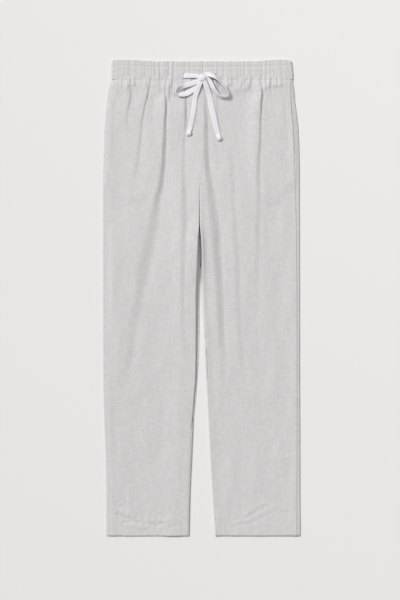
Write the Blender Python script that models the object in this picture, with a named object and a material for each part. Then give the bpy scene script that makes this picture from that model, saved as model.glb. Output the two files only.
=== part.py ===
"""Linen drawstring trousers, laid flat on their back.

The front lies on the back and the waist points towards +Y. The origin is the middle of the
laid garment, on the surface it rests on. Lengths below are millimetres until they reach a mesh.
A "drop" is a distance down the garment from the waistband's top edge.
"""

import math
from collections import namedtuple

import bmesh
import bpy
import numpy as np
from mathutils import Vector

MM = 0.001

# Driving dimensions.
OUTSEAM = 1018.0
TOP_Y = OUTSEAM / 2
BAND_DEPTH = 42.0
FRONT_FORK = 280.0
BACK_FORK = 431.0
CLOTH = 1.0
BAND_WALL = 2.0
SEAM_GAP = 0.3
LAYER_GAP = 0.3

# Heights of the middle of each cloth wall over the surface.
BACK_MID = CLOTH / 2
FRONT_MID = 2.3
BAND_BACK_MID = BAND_WALL / 2
BAND_FRONT_MID = 3.4

# Pocket bags: two walls with a slit between them that opens at the side seam.
BAG_WALL = 1.0
BAG_SLIT = 0.4
BAG_THICK = 2 * BAG_WALL + BAG_SLIT
BAG_RISE = CLOTH + BAG_THICK + 2 * LAYER_GAP + CLOTH / 2 - FRONT_MID + 0.2

# The drawstring is a flat woven tape.
TAPE_WIDTH = 10.0
TAPE_THICK = 1.6
SLOT_LENGTH = 10.0
SLOT_WIDTH = 2.4
SLOT_DROP = 35.0
SLOT_X = {"left": -38.5, "right": 30.0}
TAPE_STEP = TAPE_WIDTH / 2

# Half widths of the laid garment, from the middle line outwards, for each leg. SIGN turns a
# half width into x.
SIGN = {"left": -1.0, "right": 1.0}
Leg = namedtuple("Leg", "drop outer_left inner_left outer_right inner_right")
LEGS = [
    Leg(0, 189.5, -6.5, 190.5, 6.5),
    Leg(12, 190.8, -6.5, 192.4, 6.5),
    Leg(42, 191.6, -6.5, 194.5, 6.5),
    Leg(52, 195.4, -6.0, 195.5, 6.0),
    Leg(68, 198.8, -5.5, 197.7, 5.5),
    Leg(85, 201.2, -6.0, 198.8, 6.0),
    Leg(117, 204.4, -7.0, 202.9, 7.0),
    Leg(149, 206.7, -7.5, 206.3, 7.5),
    Leg(213, 209.0, -6.0, 208.6, 6.0),
    Leg(250, 210.0, -2.5, 209.0, 2.5),
    Leg(280, 210.2, 4.7, 209.0, -4.0),
    Leg(348, 210.3, 5.0, 209.1, -3.2),
    Leg(385, 210.4, 9.6, 209.2, -0.4),
    Leg(431, 210.4, 11.2, 209.3, 1.4),
    Leg(513, 210.4, 12.8, 209.4, 3.4),
    Leg(620, 210.0, 12.2, 209.5, 7.9),
    Leg(727, 209.0, 15.8, 209.7, 13.3),
    Leg(790, 206.7, 19.0, 210.0, 16.6),
    Leg(855, 204.8, 22.0, 210.2, 19.8),
    Leg(941, 203.3, 25.7, 210.4, 24.8),
    Leg(1018, 202.9, 27.2, 210.6, 29.7),
]

# How far the side seam sits in from the outer edge, where the back wraps to the front,
# and how far the back shows past the front's inner edge below the forks.
Seam = namedtuple("Seam", "drop wrap_left wrap_right past_left past_right")
SEAMS = [
    Seam(0, 6.0, 4.5, 0.0, 0.0),
    Seam(42, 7.0, 5.0, 0.0, 0.0),
    Seam(72, 9.5, 7.5, 0.0, 0.0),
    Seam(148, 10.5, 10.5, 0.0, 0.0),
    Seam(213, 10.0, 10.0, 0.0, 0.0),
    Seam(314, 8.0, 7.0, 0.0, 0.0),
    Seam(431, 7.0, 5.5, 8.2, 4.4),
    Seam(475, 7.0, 5.2, 8.4, 1.6),
    Seam(520, 7.0, 5.0, 8.0, 0.0),
    Seam(620, 7.0, 5.0, 6.6, 0.0),
    Seam(740, 7.6, 5.2, 2.0, 0.0),
    Seam(800, 8.0, 5.5, 0.0, 0.0),
    Seam(1018, 10.0, 6.5, 0.0, 0.0),
]
BACK_SEAM_LEAN = 3.0

# Down the leg the front's inner edge draws back, and then the back wraps up to meet it.
INSEAM_WRAP = 2.5
DRAW_BACK = {"left": (680.0, 740.0), "right": (520.0, 570.0)}
WRAP_UP = {"left": (740.0, 800.0), "right": (570.0, 620.0)}

# Folds of the front. Each is a ridge that falls steeply to the right onto its line.
# The line runs through (drop, x); height is the ridge's, flank the width of its steep side.
# The long side of a ridge is FOLD_BACK times the flank and FOLD_BACK_MORE wide.
FOLD_BACK, FOLD_BACK_MORE = 2.2, 10.0
FOLD_RUN_IN = 20.0
SEAM_EASE = 16.0
Fold = namedtuple("Fold", "drop x height flank")
FOLDS = {
    "side_pleat_left": [
        Fold(42, -155, 0.8, 3), Fold(70, -151, 2.0, 3), Fold(102, -157, 1.5, 4),
        Fold(124, -162, 0.8, 6), Fold(150, -168, 0, 8),
    ],
    "hip_pleat_left": [
        Fold(48, -112, 1.5, 3), Fold(68, -113, 2.4, 3), Fold(128, -127, 2.3, 6),
        Fold(213, -138, 1.6, 9), Fold(278, -142, 1.0, 10), Fold(342, -147, 0, 10),
    ],
    "long_fold_left": [
        Fold(60, -78, 1.5, 3), Fold(106, -78, 3.8, 4), Fold(149, -78, 4.6, 5),
        Fold(192, -81, 5.0, 8), Fold(278, -90, 4.6, 9), Fold(352, -106, 3.8, 12),
        Fold(444, -123, 2.9, 14), Fold(534, -140, 2.3, 14), Fold(620, -156, 1.2, 12),
        Fold(680, -168, 0, 12),
    ],
    "inner_fold_left": [
        Fold(76, -36, 1.2, 4), Fold(106, -34, 2.2, 4), Fold(192, -38, 2.2, 6),
        Fold(278, -38, 2.6, 7), Fold(331, -35, 2.8, 8), Fold(406, -40, 2.5, 9),
        Fold(470, -40, 2.1, 9), Fold(556, -33, 1.3, 10), Fold(684, -33, 0, 10),
    ],
    "centre_fold_right": [
        Fold(60, 4, 1.0, 3), Fold(138, 8, 3.0, 5), Fold(192, 12, 4.0, 6),
        Fold(278, 19, 4.4, 10), Fold(331, 24, 4.6, 12), Fold(438, 34, 4.2, 12),
        Fold(534, 41, 3.1, 11), Fold(598, 44, 2.2, 10), Fold(748, 45, 0, 10),
    ],
    "thigh_fold_right": [
        Fold(192, 61, 0.6, 8), Fold(320, 69, 1.7, 8), Fold(449, 77, 1.5, 10),
        Fold(620, 84, 0, 10),
    ],
    "hip_pleat_right": [
        Fold(46, 129, 1.5, 3), Fold(85, 128, 2.8, 3), Fold(128, 128, 3.2, 3),
        Fold(192, 123, 2.4, 7), Fold(278, 122, 1.7, 8), Fold(406, 121, 0, 10),
    ],
}

# Pocket bag outline: inset from the garment's outer edge, and drop.
BAG_OUTLINE = [
    (11.5, 58.0), (58.0, 58.0), (80.0, 100.0), (88.0, 170.0), (88.0, 240.0),
    (76.0, 284.0), (56.0, 290.0), (11.5, 246.0),
]
BAG_HEM = 3.0
BAG_MOUTH = (70.0, 211.0)
# The front comes down to the back between these distances outside a bag.
BAG_EASE = (14.0, 36.0)
BAG_INNER_X = 40.0

# Rows of the panels' meshes, as drops, and their columns.
ROWS = [
    BAND_DEPTH + SEAM_GAP, 56, 72, 92, 118, 148, 180, 213, 246, 280, 314, 348, 385, 431,
    475, 520, 570, 620, 680, 740, 800, 910, OUTSEAM,
]
FRONT_COLUMNS = 21
BACK_COLUMNS = 6
INSEAM_STEPS = 4
SIDE_STEPS = 5
BAND_ROWS = [0.0, 12.0, 28.0, BAND_DEPTH]
BAND_FRONT_COLUMNS = 46
BAND_BACK_COLUMNS = 12
# The elastic draws the waistband into ripples this high.
BAND_RIPPLE = 0.9

# Routes of the tapes: x and drop of the middle line, its height over what it lies on, and
# how far the tape is turned on its edge, in degrees.
Route = namedtuple("Route", "x drop lift turn")
TAPES = {
    "strand_left": [
        Route(-36.0, 34.6, 0.2, 0), Route(-26.0, 34.4, 0.2, 0), Route(-17.0, 34.8, 0.2, 0),
        Route(-8.9, 35.4, 0.2, 0),
    ],
    "loop_left": [
        Route(-12.0, 48.2, 2.4, 0), Route(-20.0, 51.5, 2.4, 0), Route(-35.0, 55.8, 2.4, 8),
        Route(-47.0, 61.5, 1.6, 42), Route(-53.0, 69.0, 0.4, 72), Route(-50.0, 75.4, 0.2, 62),
        Route(-38.0, 77.0, 0.2, 28), Route(-25.0, 71.0, 0.2, 8), Route(-14.5, 60.4, 0.2, 0),
        Route(-10.0, 53.8, 0.2, 0),
    ],
    "tail_left": [
        Route(-3.4, 50.2, 2.5, 0), Route(-8.6, 64.0, 2.5, 0), Route(-12.2, 75.0, 1.8, 0),
        Route(-14.4, 86.0, 0.4, 0), Route(-16.6, 107.0, 0.2, 0), Route(-20.2, 128.0, 0.2, 0),
        Route(-24.2, 149.5, 0.2, 0),
    ],
    "strand_right": [
        Route(27.6, 36.0, 0.2, 0), Route(20.0, 35.8, 0.2, 0), Route(11.4, 35.6, 0.2, 0),
    ],
    "loop_right": [
        Route(12.2, 32.6, 2.3, 10), Route(22.5, 34.4, 2.3, 34), Route(32.5, 41.0, 2.1, 62),
        Route(44.0, 51.5, 0.6, 76), Route(54.5, 63.0, 0.2, 78), Route(59.4, 74.6, 0.2, 74),
        Route(55.6, 81.4, 0.2, 66), Route(46.0, 81.4, 0.2, 58), Route(34.4, 74.8, 0.2, 50),
        Route(25.2, 62.0, 0.2, 44), Route(19.4, 50.5, 0.2, 34), Route(16.4, 45.0, 0.2, 24),
    ],
    "tail_right": [
        Route(8.0, 51.4, 2.5, 0), Route(12.2, 64.4, 1.6, 0), Route(18.2, 85.6, 0.2, 0),
        Route(22.5, 107.0, 0.2, 0), Route(27.4, 128.4, 0.2, 0), Route(32.6, 149.8, 0.2, 0),
        Route(35.8, 162.0, 0.2, 0),
    ],
}
BOW_KNOT = {"x": 1.2, "drop": 38.0, "half": (9.5, 9.4, 4.4)}
END_KNOTS = {"knot_left": "tail_left", "knot_right": "tail_right"}
END_KNOT_HALF = (5.8, 5.8, 2.6)
KNOT_SQUARENESS = 0.75

COLOURS = {
    "linen": (0.66, 0.645, 0.645, 0.85),
    "pocketing": (0.68, 0.67, 0.66, 0.85),
    "tape": (0.84, 0.83, 0.86, 0.75),
}


# Smooth curves through the tables.
def through(stations, values, at):
    """A smooth curve through the values that never overshoots them."""
    x, y = np.asarray(stations, float), np.asarray(values, float)
    step = np.diff(x)
    slope = np.diff(y) / step
    tangent = np.zeros(len(x))
    same_way = slope[:-1] * slope[1:] > 0
    blend = 2 * slope[:-1] * slope[1:] / np.where(same_way, slope[:-1] + slope[1:], 1)
    tangent[1:-1] = np.where(same_way, blend, 0)
    tangent[0], tangent[-1] = slope[0], slope[-1]
    at = np.clip(at, x[0], x[-1])
    i = np.clip(np.searchsorted(x, at) - 1, 0, len(step) - 1)
    t = (at - x[i]) / step[i]
    return (
        y[i] * (1 + 2 * t) * (1 - t) ** 2
        + y[i + 1] * t * t * (3 - 2 * t)
        + step[i] * (tangent[i] * t * (1 - t) ** 2 - tangent[i + 1] * t * t * (1 - t))
    )


def column(table, name, drop):
    """One named column of a table at any drop."""
    return through([row.drop for row in table], [getattr(row, name) for row in table], drop)


def smoothstep(low, high, value):
    t = np.clip((value - low) / (high - low), 0, 1)
    return t * t * (3 - 2 * t)


# The laid garment's outline.
def outer(side, drop):
    return column(LEGS, "outer_" + side, drop)


def inner(side, drop):
    return column(LEGS, "inner_" + side, drop)


def side_seam(side, drop):
    return outer(side, drop) - column(SEAMS, "wrap_" + side, drop)


def front_inner(side, drop):
    """The front's inner edge: the centre seam, then the inseam."""
    return inner(side, drop) + INSEAM_WRAP * smoothstep(*DRAW_BACK[side], drop)


def back_inner(side, drop):
    """The back's innermost edge: its centre seam down to its fork, then past the front's."""
    lean = BACK_SEAM_LEAN * smoothstep(FRONT_FORK, BACK_FORK, drop)
    seam = SIGN[side] * -lean
    below = inner(side, drop) - column(SEAMS, "past_" + side, drop)
    return np.where(drop <= BACK_FORK, seam, below)


# Height of the front over the surface.
def outside_bag(inset, drop):
    """Distance outside the pocket bag's outline, negative inside it."""
    points = np.array(BAG_OUTLINE)
    inset, drop = np.broadcast_arrays(np.asarray(inset, float), np.asarray(drop, float))
    nearest = np.full(inset.shape, np.inf)
    inside = np.zeros(inset.shape, bool)
    for (ax, ay), (bx, by) in zip(points, np.roll(points, -1, axis=0)):
        dx, dy = bx - ax, by - ay
        t = np.clip(((inset - ax) * dx + (drop - ay) * dy) / (dx * dx + dy * dy), 0, 1)
        nearest = np.minimum(nearest, np.hypot(inset - ax - t * dx, drop - ay - t * dy))
        if dy:
            crosses = (ay > drop) != (by > drop)
            inside ^= crosses & (inset < ax + (drop - ay) * dx / dy)
    return np.where(inside, -nearest, nearest)


def bag_rise(side, x, drop):
    """The front is lifted over the pocket bag, out to the side edge."""
    half = SIGN[side] * x
    inset = np.maximum(outer(side, drop) - half, BAG_OUTLINE[0][0] + 1)
    rise = BAG_RISE * (1 - smoothstep(*BAG_EASE, outside_bag(inset, drop)))
    return np.where(half > BAG_INNER_X, rise, 0)


def fold_height(rows, x, drop):
    drops = [r.drop for r in rows]
    line = through(drops, [r.x for r in rows], drop)
    height = through(drops, [r.height for r in rows], drop)
    flank = through(drops, [r.flank for r in rows], drop)
    height = height * smoothstep(drops[0] - FOLD_RUN_IN, drops[0], drop) * (drop < drops[-1])
    s = x - line + flank
    back = np.exp(-((s / (FOLD_BACK * flank + FOLD_BACK_MORE)) ** 2))
    face = 0.5 * (1 + np.cos(math.pi * np.clip(s / flank, 0, 1)))
    return height * np.where(s < 0, back, face)


def front_height(x, drop):
    """Middle of the front's wall over the surface."""
    x, drop = np.broadcast_arrays(np.asarray(x, float), np.asarray(drop, float))
    folds = sum(fold_height(rows, x, drop) for rows in FOLDS.values())
    rise = bag_rise("left", x, drop) + bag_rise("right", x, drop)
    from_seam = np.minimum(side_seam("left", drop) + x, side_seam("right", drop) - x)
    return FRONT_MID + rise + folds * smoothstep(0, SEAM_EASE, from_seam)


def band_height(x):
    """Middle of the waistband front's wall, in uneven ripples."""
    ripple = 0.5 + 0.28 * np.sin(x / 5.1 + 0.7) + 0.22 * np.sin(x / 8.3 + 2.1 * np.sin(x / 47))
    return BAND_FRONT_MID + BAND_RIPPLE * ripple


def top_of_cloth(x, drop, reach):
    """Upper surface of the front within a reach to each side."""
    xs = x + np.linspace(-reach, reach, 9)
    ys = drop + np.linspace(-3, 3, 3)[:, None]
    panel = front_height(xs[None, :], ys) + CLOTH / 2
    band = band_height(xs)[None, :] + BAND_WALL / 2
    return float(np.where(ys < BAND_DEPTH + 1, np.maximum(band, 0), panel).max())


# Scene helpers.
def material(name):
    found = bpy.data.materials.get(name)
    if found:
        return found
    made = bpy.data.materials.new(name)
    made.use_nodes = True
    shader = made.node_tree.nodes["Principled BSDF"]
    red, green, blue, roughness = COLOURS[name]
    shader.inputs["Base Color"].default_value = (red, green, blue, 1)
    shader.inputs["Roughness"].default_value = roughness
    shader.inputs["Metallic"].default_value = 0
    return made


def place(name, data, finish, smooth=True):
    obj = bpy.data.objects.new(name, data)
    bpy.context.scene.collection.objects.link(obj)
    data.materials.append(material(finish))
    if smooth and obj.type == "MESH":
        data.shade_smooth()
        data.set_sharp_from_angle(angle=math.radians(40))
    return obj


def subtract(target, cutter):
    cutter.hide_render = True
    cutter.display_type = "WIRE"
    cut = target.modifiers.new(cutter.name, "BOOLEAN")
    cut.operation = "DIFFERENCE"
    cut.object = cutter


def sheet(name, rows, finish, wall):
    """Cloth of even thickness about rows of (x, drop, height) points."""
    rows = np.array(rows, float)
    bm = bmesh.new()
    bmesh.ops.create_grid(bm, x_segments=rows.shape[0] - 1, y_segments=rows.shape[1] - 1, size=0.5)
    bm.verts.ensure_lookup_table()
    across = sorted({round(v.co.y, 6) for v in bm.verts})
    down = sorted({round(v.co.x, 6) for v in bm.verts})
    where = {(round(v.co.x, 6), round(v.co.y, 6)): v for v in bm.verts}
    for i, dx in enumerate(down):
        for j, dy in enumerate(across):
            x, drop, height = rows[i, j]
            where[dx, dy].co = Vector((x, TOP_Y - drop, height)) * MM
    mesh = bpy.data.meshes.new(name)
    bm.to_mesh(mesh)
    bm.free()
    obj = place(name, mesh, finish)
    thick = obj.modifiers.new("Wall", "SOLIDIFY")
    thick.thickness = wall * MM
    thick.offset = 0
    thick.use_quality_normals = True
    return obj


# Leg panels.
def columns_near_folds(low, high, drop, count):
    """Columns from low to high at one drop, closer together at the folds."""
    fine = np.linspace(low, high, 400)
    density = np.ones_like(fine)
    for rows in FOLDS.values():
        drops = [r.drop for r in rows]
        line = through(drops, [r.x for r in rows], drop)
        flank = through(drops, [r.flank for r in rows], drop)
        density += 3.0 * np.exp(-(((fine - line + flank / 2) / (flank + 3)) ** 2))
    total = np.concatenate([[0], np.cumsum((density[1:] + density[:-1]) / 2)])
    return np.interp(np.linspace(0, total[-1], count), total, fine)


def front_panel(side):
    rows = []
    for drop in ROWS:
        ends = [
            SIGN[side] * (front_inner(side, drop) + SEAM_GAP / 2),
            SIGN[side] * (side_seam(side, drop) - SEAM_GAP / 2),
        ]
        xs = columns_near_folds(min(ends), max(ends), drop, FRONT_COLUMNS)
        rows.append([(x, drop, float(front_height(x, drop))) for x in xs])
    sheet("front_" + side, rows, "linen", CLOTH)


def rolled_edge(radius, turn, steps):
    """Points of an arc from flat, as (out, up), that turns by the given angle."""
    angles = np.linspace(0, turn, steps + 1)
    return [(radius * math.sin(a), radius * (1 - math.cos(a))) for a in angles]


def back_section(side, drop):
    """(half width, height) along the back, from its inner end round to the side seam."""
    amount = float(smoothstep(*WRAP_UP[side], drop))
    end = float(back_inner(side, drop)) + SEAM_GAP / 2
    roll = (FRONT_MID - BACK_MID) / 2
    wrapped = [(end + INSEAM_WRAP - SEAM_GAP, FRONT_MID)]
    wrapped += [
        (end + roll - out, BACK_MID + up)
        for out, up in reversed(rolled_edge(roll, math.pi, INSEAM_STEPS))
    ]
    flat = np.linspace(end, end + roll + 1.5, len(wrapped))
    points = []
    for (half, height), level_half in zip(wrapped, flat):
        points.append((
            level_half + (half - level_half) * amount,
            BACK_MID + (height - BACK_MID) * amount,
        ))
    level = float(front_height(SIGN[side] * side_seam(side, drop), drop))
    radius = (level - BACK_MID) / 2
    edge = float(outer(side, drop)) - radius
    for half in np.linspace(points[-1][0], edge, BACK_COLUMNS)[1:]:
        points.append((half, BACK_MID))
    for out, up in rolled_edge(radius, math.pi, SIDE_STEPS)[1:]:
        points.append((edge + out, BACK_MID + up))
    points.append((side_seam(side, drop) + SEAM_GAP / 2, level))
    return points


def back_panel(side):
    rows = []
    for drop in ROWS:
        rows.append([(SIGN[side] * half, drop, z) for half, z in back_section(side, drop)])
    sheet("back_" + side, rows, "linen", CLOTH)


# Waistband.
def waistband_front():
    rows = []
    for drop in BAND_ROWS:
        low = -(side_seam("left", drop) - SEAM_GAP / 2)
        high = side_seam("right", drop) - SEAM_GAP / 2
        xs = np.linspace(low, high, BAND_FRONT_COLUMNS)
        rows.append([(x, drop, float(band_height(x))) for x in xs])
    band = sheet("waistband_front", rows, "linen", BAND_WALL)
    for side, x in SLOT_X.items():
        cut_slot(band, side, x)


def cut_slot(band, side, x):
    """A buttonhole through the outer layer of the casing, where the tape comes out."""
    bm = bmesh.new()
    bmesh.ops.create_cube(bm, size=1.0)
    bmesh.ops.scale(bm, vec=Vector((SLOT_WIDTH, SLOT_LENGTH, 2 * BAND_WALL)) * MM, verts=bm.verts)
    middle = float(band_height(x)) + BAND_WALL
    bmesh.ops.translate(bm, vec=Vector((x, TOP_Y - SLOT_DROP, middle)) * MM, verts=bm.verts)
    mesh = bpy.data.meshes.new("slot_cutter_" + side)
    bm.to_mesh(mesh)
    bm.free()
    subtract(band, place("slot_cutter_" + side, mesh, "linen", smooth=False))


def waistband_back():
    rows = []
    radius = (BAND_FRONT_MID + BAND_RIPPLE / 2 - BAND_BACK_MID) / 2
    top = BAND_BACK_MID + 2 * radius
    for drop in BAND_ROWS:
        left, right = outer("left", drop) - radius, outer("right", drop) - radius
        seam_left = side_seam("left", drop) + SEAM_GAP / 2
        seam_right = side_seam("right", drop) + SEAM_GAP / 2
        arc = rolled_edge(radius, math.pi, SIDE_STEPS)
        row = [(-seam_left, drop, top)]
        row += [(-(left + out), drop, BAND_BACK_MID + up) for out, up in reversed(arc)]
        row += [(x, drop, BAND_BACK_MID) for x in np.linspace(-left, right, BAND_BACK_COLUMNS)[1:]]
        row += [(right + out, drop, BAND_BACK_MID + up) for out, up in arc[1:]]
        row.append((seam_right, drop, top))
        rows.append(row)
    sheet("waistband_back", rows, "linen", BAND_WALL)


# Pocket bags.
def prism(name, outline, low, high, finish):
    """An outline of (x, drop) points, from one height to another."""
    bm = bmesh.new()
    verts = [bm.verts.new(Vector((x, TOP_Y - drop, low)) * MM) for x, drop in outline]
    face = bm.faces.new(verts)
    grown = bmesh.ops.extrude_face_region(bm, geom=[face])
    top = [v for v in grown["geom"] if isinstance(v, bmesh.types.BMVert)]
    bmesh.ops.translate(bm, vec=(0, 0, (high - low) * MM), verts=top)
    bmesh.ops.recalc_face_normals(bm, faces=bm.faces)
    mesh = bpy.data.meshes.new(name)
    bm.to_mesh(mesh)
    bm.free()
    return place(name, mesh, finish, smooth=False)


def pocket_bag(side):
    """Two layers sewn round the edge, with a slit between them that opens at the side seam."""
    def at(inset, drop):
        return SIGN[side] * (outer(side, drop) - inset), drop

    low = CLOTH + LAYER_GAP
    outline = [at(*corner) for corner in BAG_OUTLINE]
    bag = prism("pocket_bag_" + side, outline, low, low + BAG_THICK, "pocketing")
    edge = BAG_OUTLINE[0][0]
    top, bottom = BAG_MOUTH
    inside = [(edge - BAG_HEM, top), (edge + 2 * BAG_HEM, top)]
    inside += [(inset - BAG_HEM, max(drop, top)) for inset, drop in BAG_OUTLINE[2:5]]
    inside += [(inset, drop - BAG_HEM) for inset, drop in BAG_OUTLINE[5:7]]
    inside += [(edge + 2 * BAG_HEM, bottom + 6 * BAG_HEM), (edge - BAG_HEM, bottom)]
    slit_low = low + BAG_WALL
    corners = [at(*corner) for corner in inside]
    slit = prism("slit_cutter_" + side, corners, slit_low, slit_low + BAG_SLIT, "pocketing")
    subtract(bag, slit)


# Drawstring.
def spline_points(route, spacing):
    """Evenly spaced rows of (x, drop, lift, turn) on a smooth curve through a route."""
    points = np.array(route, float)
    chord = np.concatenate([[0], np.cumsum(np.hypot(*np.diff(points[:, :2], axis=0).T))])
    padded = np.vstack([2 * points[0] - points[1], points, 2 * points[-1] - points[-2]])
    fine = []
    for i in range(1, len(padded) - 2):
        a, b, c, d = padded[i - 1 : i + 3]
        for t in np.linspace(0, 1, 12, endpoint=False):
            fine.append(
                0.5 * (2 * b + (c - a) * t + (2 * a - 5 * b + 4 * c - d) * t**2
                       + (3 * b - a - 3 * c + d) * t**3)
            )
    fine = np.array(fine + [points[-1]])
    along = np.concatenate([[0], np.cumsum(np.hypot(*np.diff(fine[:, :2], axis=0).T))])
    count = max(3, round(chord[-1] / spacing))
    at = np.linspace(0, along[-1], count)
    return np.stack([np.interp(at, along, fine[:, k]) for k in range(4)], axis=1)


def tape_height(x, drop, lift, turn):
    """Height of the tape's middle line where it rests on the cloth, plus its lift."""
    lean = math.radians(turn)
    flat, upright = abs(math.cos(lean)), abs(math.sin(lean))
    ground = top_of_cloth(x, drop, TAPE_WIDTH / 2 * flat + TAPE_THICK / 2)
    return ground + LAYER_GAP + lift + (TAPE_THICK * flat + TAPE_WIDTH * upright) / 2


def tape(name, route):
    data = bpy.data.curves.new(name, "CURVE")
    data.dimensions = "3D"
    data.twist_mode = "Z_UP"
    data.bevel_depth = TAPE_THICK / 2 * MM
    data.bevel_resolution = 2
    data.extrude = (TAPE_WIDTH - TAPE_THICK) / 2 * MM
    data.use_fill_caps = True
    rows = spline_points(route, TAPE_STEP)
    spline = data.splines.new("POLY")
    spline.points.add(len(rows) - 1)
    for point, (x, drop, lift, turn) in zip(spline.points, rows):
        z = tape_height(x, drop, lift, turn)
        point.co = (x * MM, (TOP_Y - drop) * MM, z * MM, 1)
        point.tilt = math.radians(90 - turn)
    return place(name, data, "tape")


def lump(name, centre, half):
    """A drawn-up knot: a rounded, slightly squared lump."""
    bm = bmesh.new()
    bmesh.ops.create_icosphere(bm, subdivisions=2, radius=1.0)
    for v in bm.verts:
        v.co = Vector([math.copysign(abs(c) ** KNOT_SQUARENESS, c) for c in v.co])
        v.co = Vector([centre[k] + v.co[k] * half[k] for k in range(3)]) * MM
    mesh = bpy.data.meshes.new(name)
    bm.to_mesh(mesh)
    bm.free()
    return place(name, mesh, "tape")


def drawstring():
    for name, route in TAPES.items():
        tape(name, route)
    x, drop, half = BOW_KNOT["x"], BOW_KNOT["drop"], BOW_KNOT["half"]
    ground = top_of_cloth(x, drop, half[0])
    lump("bow_knot", (x, TOP_Y - drop, ground + LAYER_GAP + half[2]), half)
    for name, tail in END_KNOTS.items():
        last, before = TAPES[tail][-1], TAPES[tail][-2]
        run = math.hypot(last.x - before.x, last.drop - before.drop)
        reach = (END_KNOT_HALF[1] + LAYER_GAP) / run
        x = last.x + (last.x - before.x) * reach
        drop = last.drop + (last.drop - before.drop) * reach
        ground = top_of_cloth(x, drop, END_KNOT_HALF[0])
        lump(name, (x, TOP_Y - drop, ground + LAYER_GAP + END_KNOT_HALF[2]), END_KNOT_HALF)


def clear_scene():
    for obj in list(bpy.data.objects):
        bpy.data.objects.remove(obj)


def main():
    clear_scene()
    for side in SIGN:
        back_panel(side)
        front_panel(side)
        pocket_bag(side)
    waistband_back()
    waistband_front()
    drawstring()


main()
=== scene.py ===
import math
from collections import namedtuple

import bmesh
import bpy
import numpy as np
from mathutils import Matrix, Vector


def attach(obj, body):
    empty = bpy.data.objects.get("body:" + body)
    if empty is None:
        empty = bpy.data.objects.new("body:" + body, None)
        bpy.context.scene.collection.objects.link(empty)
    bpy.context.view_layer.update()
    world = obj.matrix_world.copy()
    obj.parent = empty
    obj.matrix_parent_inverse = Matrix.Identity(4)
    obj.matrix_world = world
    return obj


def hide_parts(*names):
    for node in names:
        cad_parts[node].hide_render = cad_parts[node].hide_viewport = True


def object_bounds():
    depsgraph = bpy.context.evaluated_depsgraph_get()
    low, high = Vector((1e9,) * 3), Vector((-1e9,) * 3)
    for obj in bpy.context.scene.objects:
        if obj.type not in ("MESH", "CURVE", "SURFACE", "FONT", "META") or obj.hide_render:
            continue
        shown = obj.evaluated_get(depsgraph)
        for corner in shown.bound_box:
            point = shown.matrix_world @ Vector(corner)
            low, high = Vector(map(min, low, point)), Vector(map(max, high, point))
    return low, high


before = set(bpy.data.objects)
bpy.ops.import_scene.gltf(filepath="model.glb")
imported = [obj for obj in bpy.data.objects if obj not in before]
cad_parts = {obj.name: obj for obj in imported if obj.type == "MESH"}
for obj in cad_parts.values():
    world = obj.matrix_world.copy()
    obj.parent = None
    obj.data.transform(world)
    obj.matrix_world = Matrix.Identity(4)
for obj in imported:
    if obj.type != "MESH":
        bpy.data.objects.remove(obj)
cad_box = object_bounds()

# Lengths are millimetres until they reach a mesh. A "drop" is a distance down the garment
# from the waistband's top edge, and x runs across it from its middle line.
MM = 0.001
TOP = cad_box[1][1] / MM
HEM = (cad_box[1][1] - cad_box[0][1]) / MM - 0.2
SIDES = {"left": -1.0, "right": 1.0}

# The cloth and how its layers lie.
LINEN = 0.6
BACK_Z = LINEN / 2
FRONT_Z = 2.5
CLOSED_SEAM = 0.03
TURN_IN = 1.2
BAND_DEPTH = 42.0
BAND_STITCH = 13.0
FRONT_FORK = 280.0
BACK_FORK = 431.0
HEM_DEPTH = 44.0
HEM_PLY = 0.7

# The waistband casing: height of its outer and inner plies, front and back.
BAND_FRONT_OUT, BAND_FRONT_IN = 4.2, 2.5
BAND_BACK_OUT, BAND_BACK_IN = BACK_Z, 1.9


def table(columns, rows):
    """A short table: rows whose columns have names."""
    row = namedtuple("Row", columns)
    return [row(*values) for values in rows]


# Half widths of the laid garment, from the middle line outwards, for each leg.
LEGS = table("drop outer_left inner_left outer_right inner_right", [
    (0, 189.5, -6.5, 190.5, 6.5),
    (12, 190.8, -6.5, 192.4, 6.5),
    (42, 191.6, -6.5, 194.5, 6.5),
    (52, 195.4, -6, 195.5, 6),
    (68, 198.8, -5.5, 197.7, 5.5),
    (85, 201.2, -6, 198.8, 6),
    (117, 204.4, -7, 202.9, 7),
    (149, 206.7, -7.5, 206.3, 7.5),
    (213, 209, -6, 208.6, 6),
    (250, 210, -2.5, 209, 2.5),
    (280, 210.2, 4.7, 209, -4),
    (348, 210.3, 5, 209.1, -3.2),
    (385, 210.4, 7.3, 209.2, -0.4),
    (431, 210.4, 9.2, 209.3, 1.4),
    (513, 210.4, 12, 209.4, 3.4),
    (620, 210, 12.2, 209.5, 7.9),
    (727, 209, 14.6, 209.7, 13.3),
    (790, 206.7, 19, 210, 16.6),
    (855, 204.8, 22, 210.2, 19.8),
    (941, 203.3, 25.7, 210.4, 24.8),
    (1018, 202.9, 27.2, 210.6, 29.7),
])

# How far the side seam sits in from the outer edge, where the back wraps to the front,
# and how far the back shows past the front's inner edge below the forks.
SEAMS = table("drop wrap_left wrap_right past_left past_right", [
    (0, 6, 4.5, 0, 0),
    (42, 7, 5, 0, 0),
    (72, 9.5, 7.5, 0, 0),
    (148, 10.5, 10.5, 0, 0),
    (213, 10, 10, 0, 0),
    (314, 8, 7, 0, 0),
    (431, 7, 5.5, 8.2, 4.4),
    (475, 7, 5.2, 8.4, 1.6),
    (520, 7, 5, 8, 0),
    (620, 7, 5, 6.6, 0),
    (740, 7.6, 5.2, 2, 0),
    (800, 8, 5.5, 0, 0),
    (1018, 10, 6.5, 0, 0),
])
BACK_SEAM_LEAN = 3.0
INSEAM_WRAP = 2.5
DRAW_BACK = {"left": (680.0, 740.0), "right": (520.0, 570.0)}
WRAP_UP = {"left": (740.0, 800.0), "right": (570.0, 620.0)}

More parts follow.
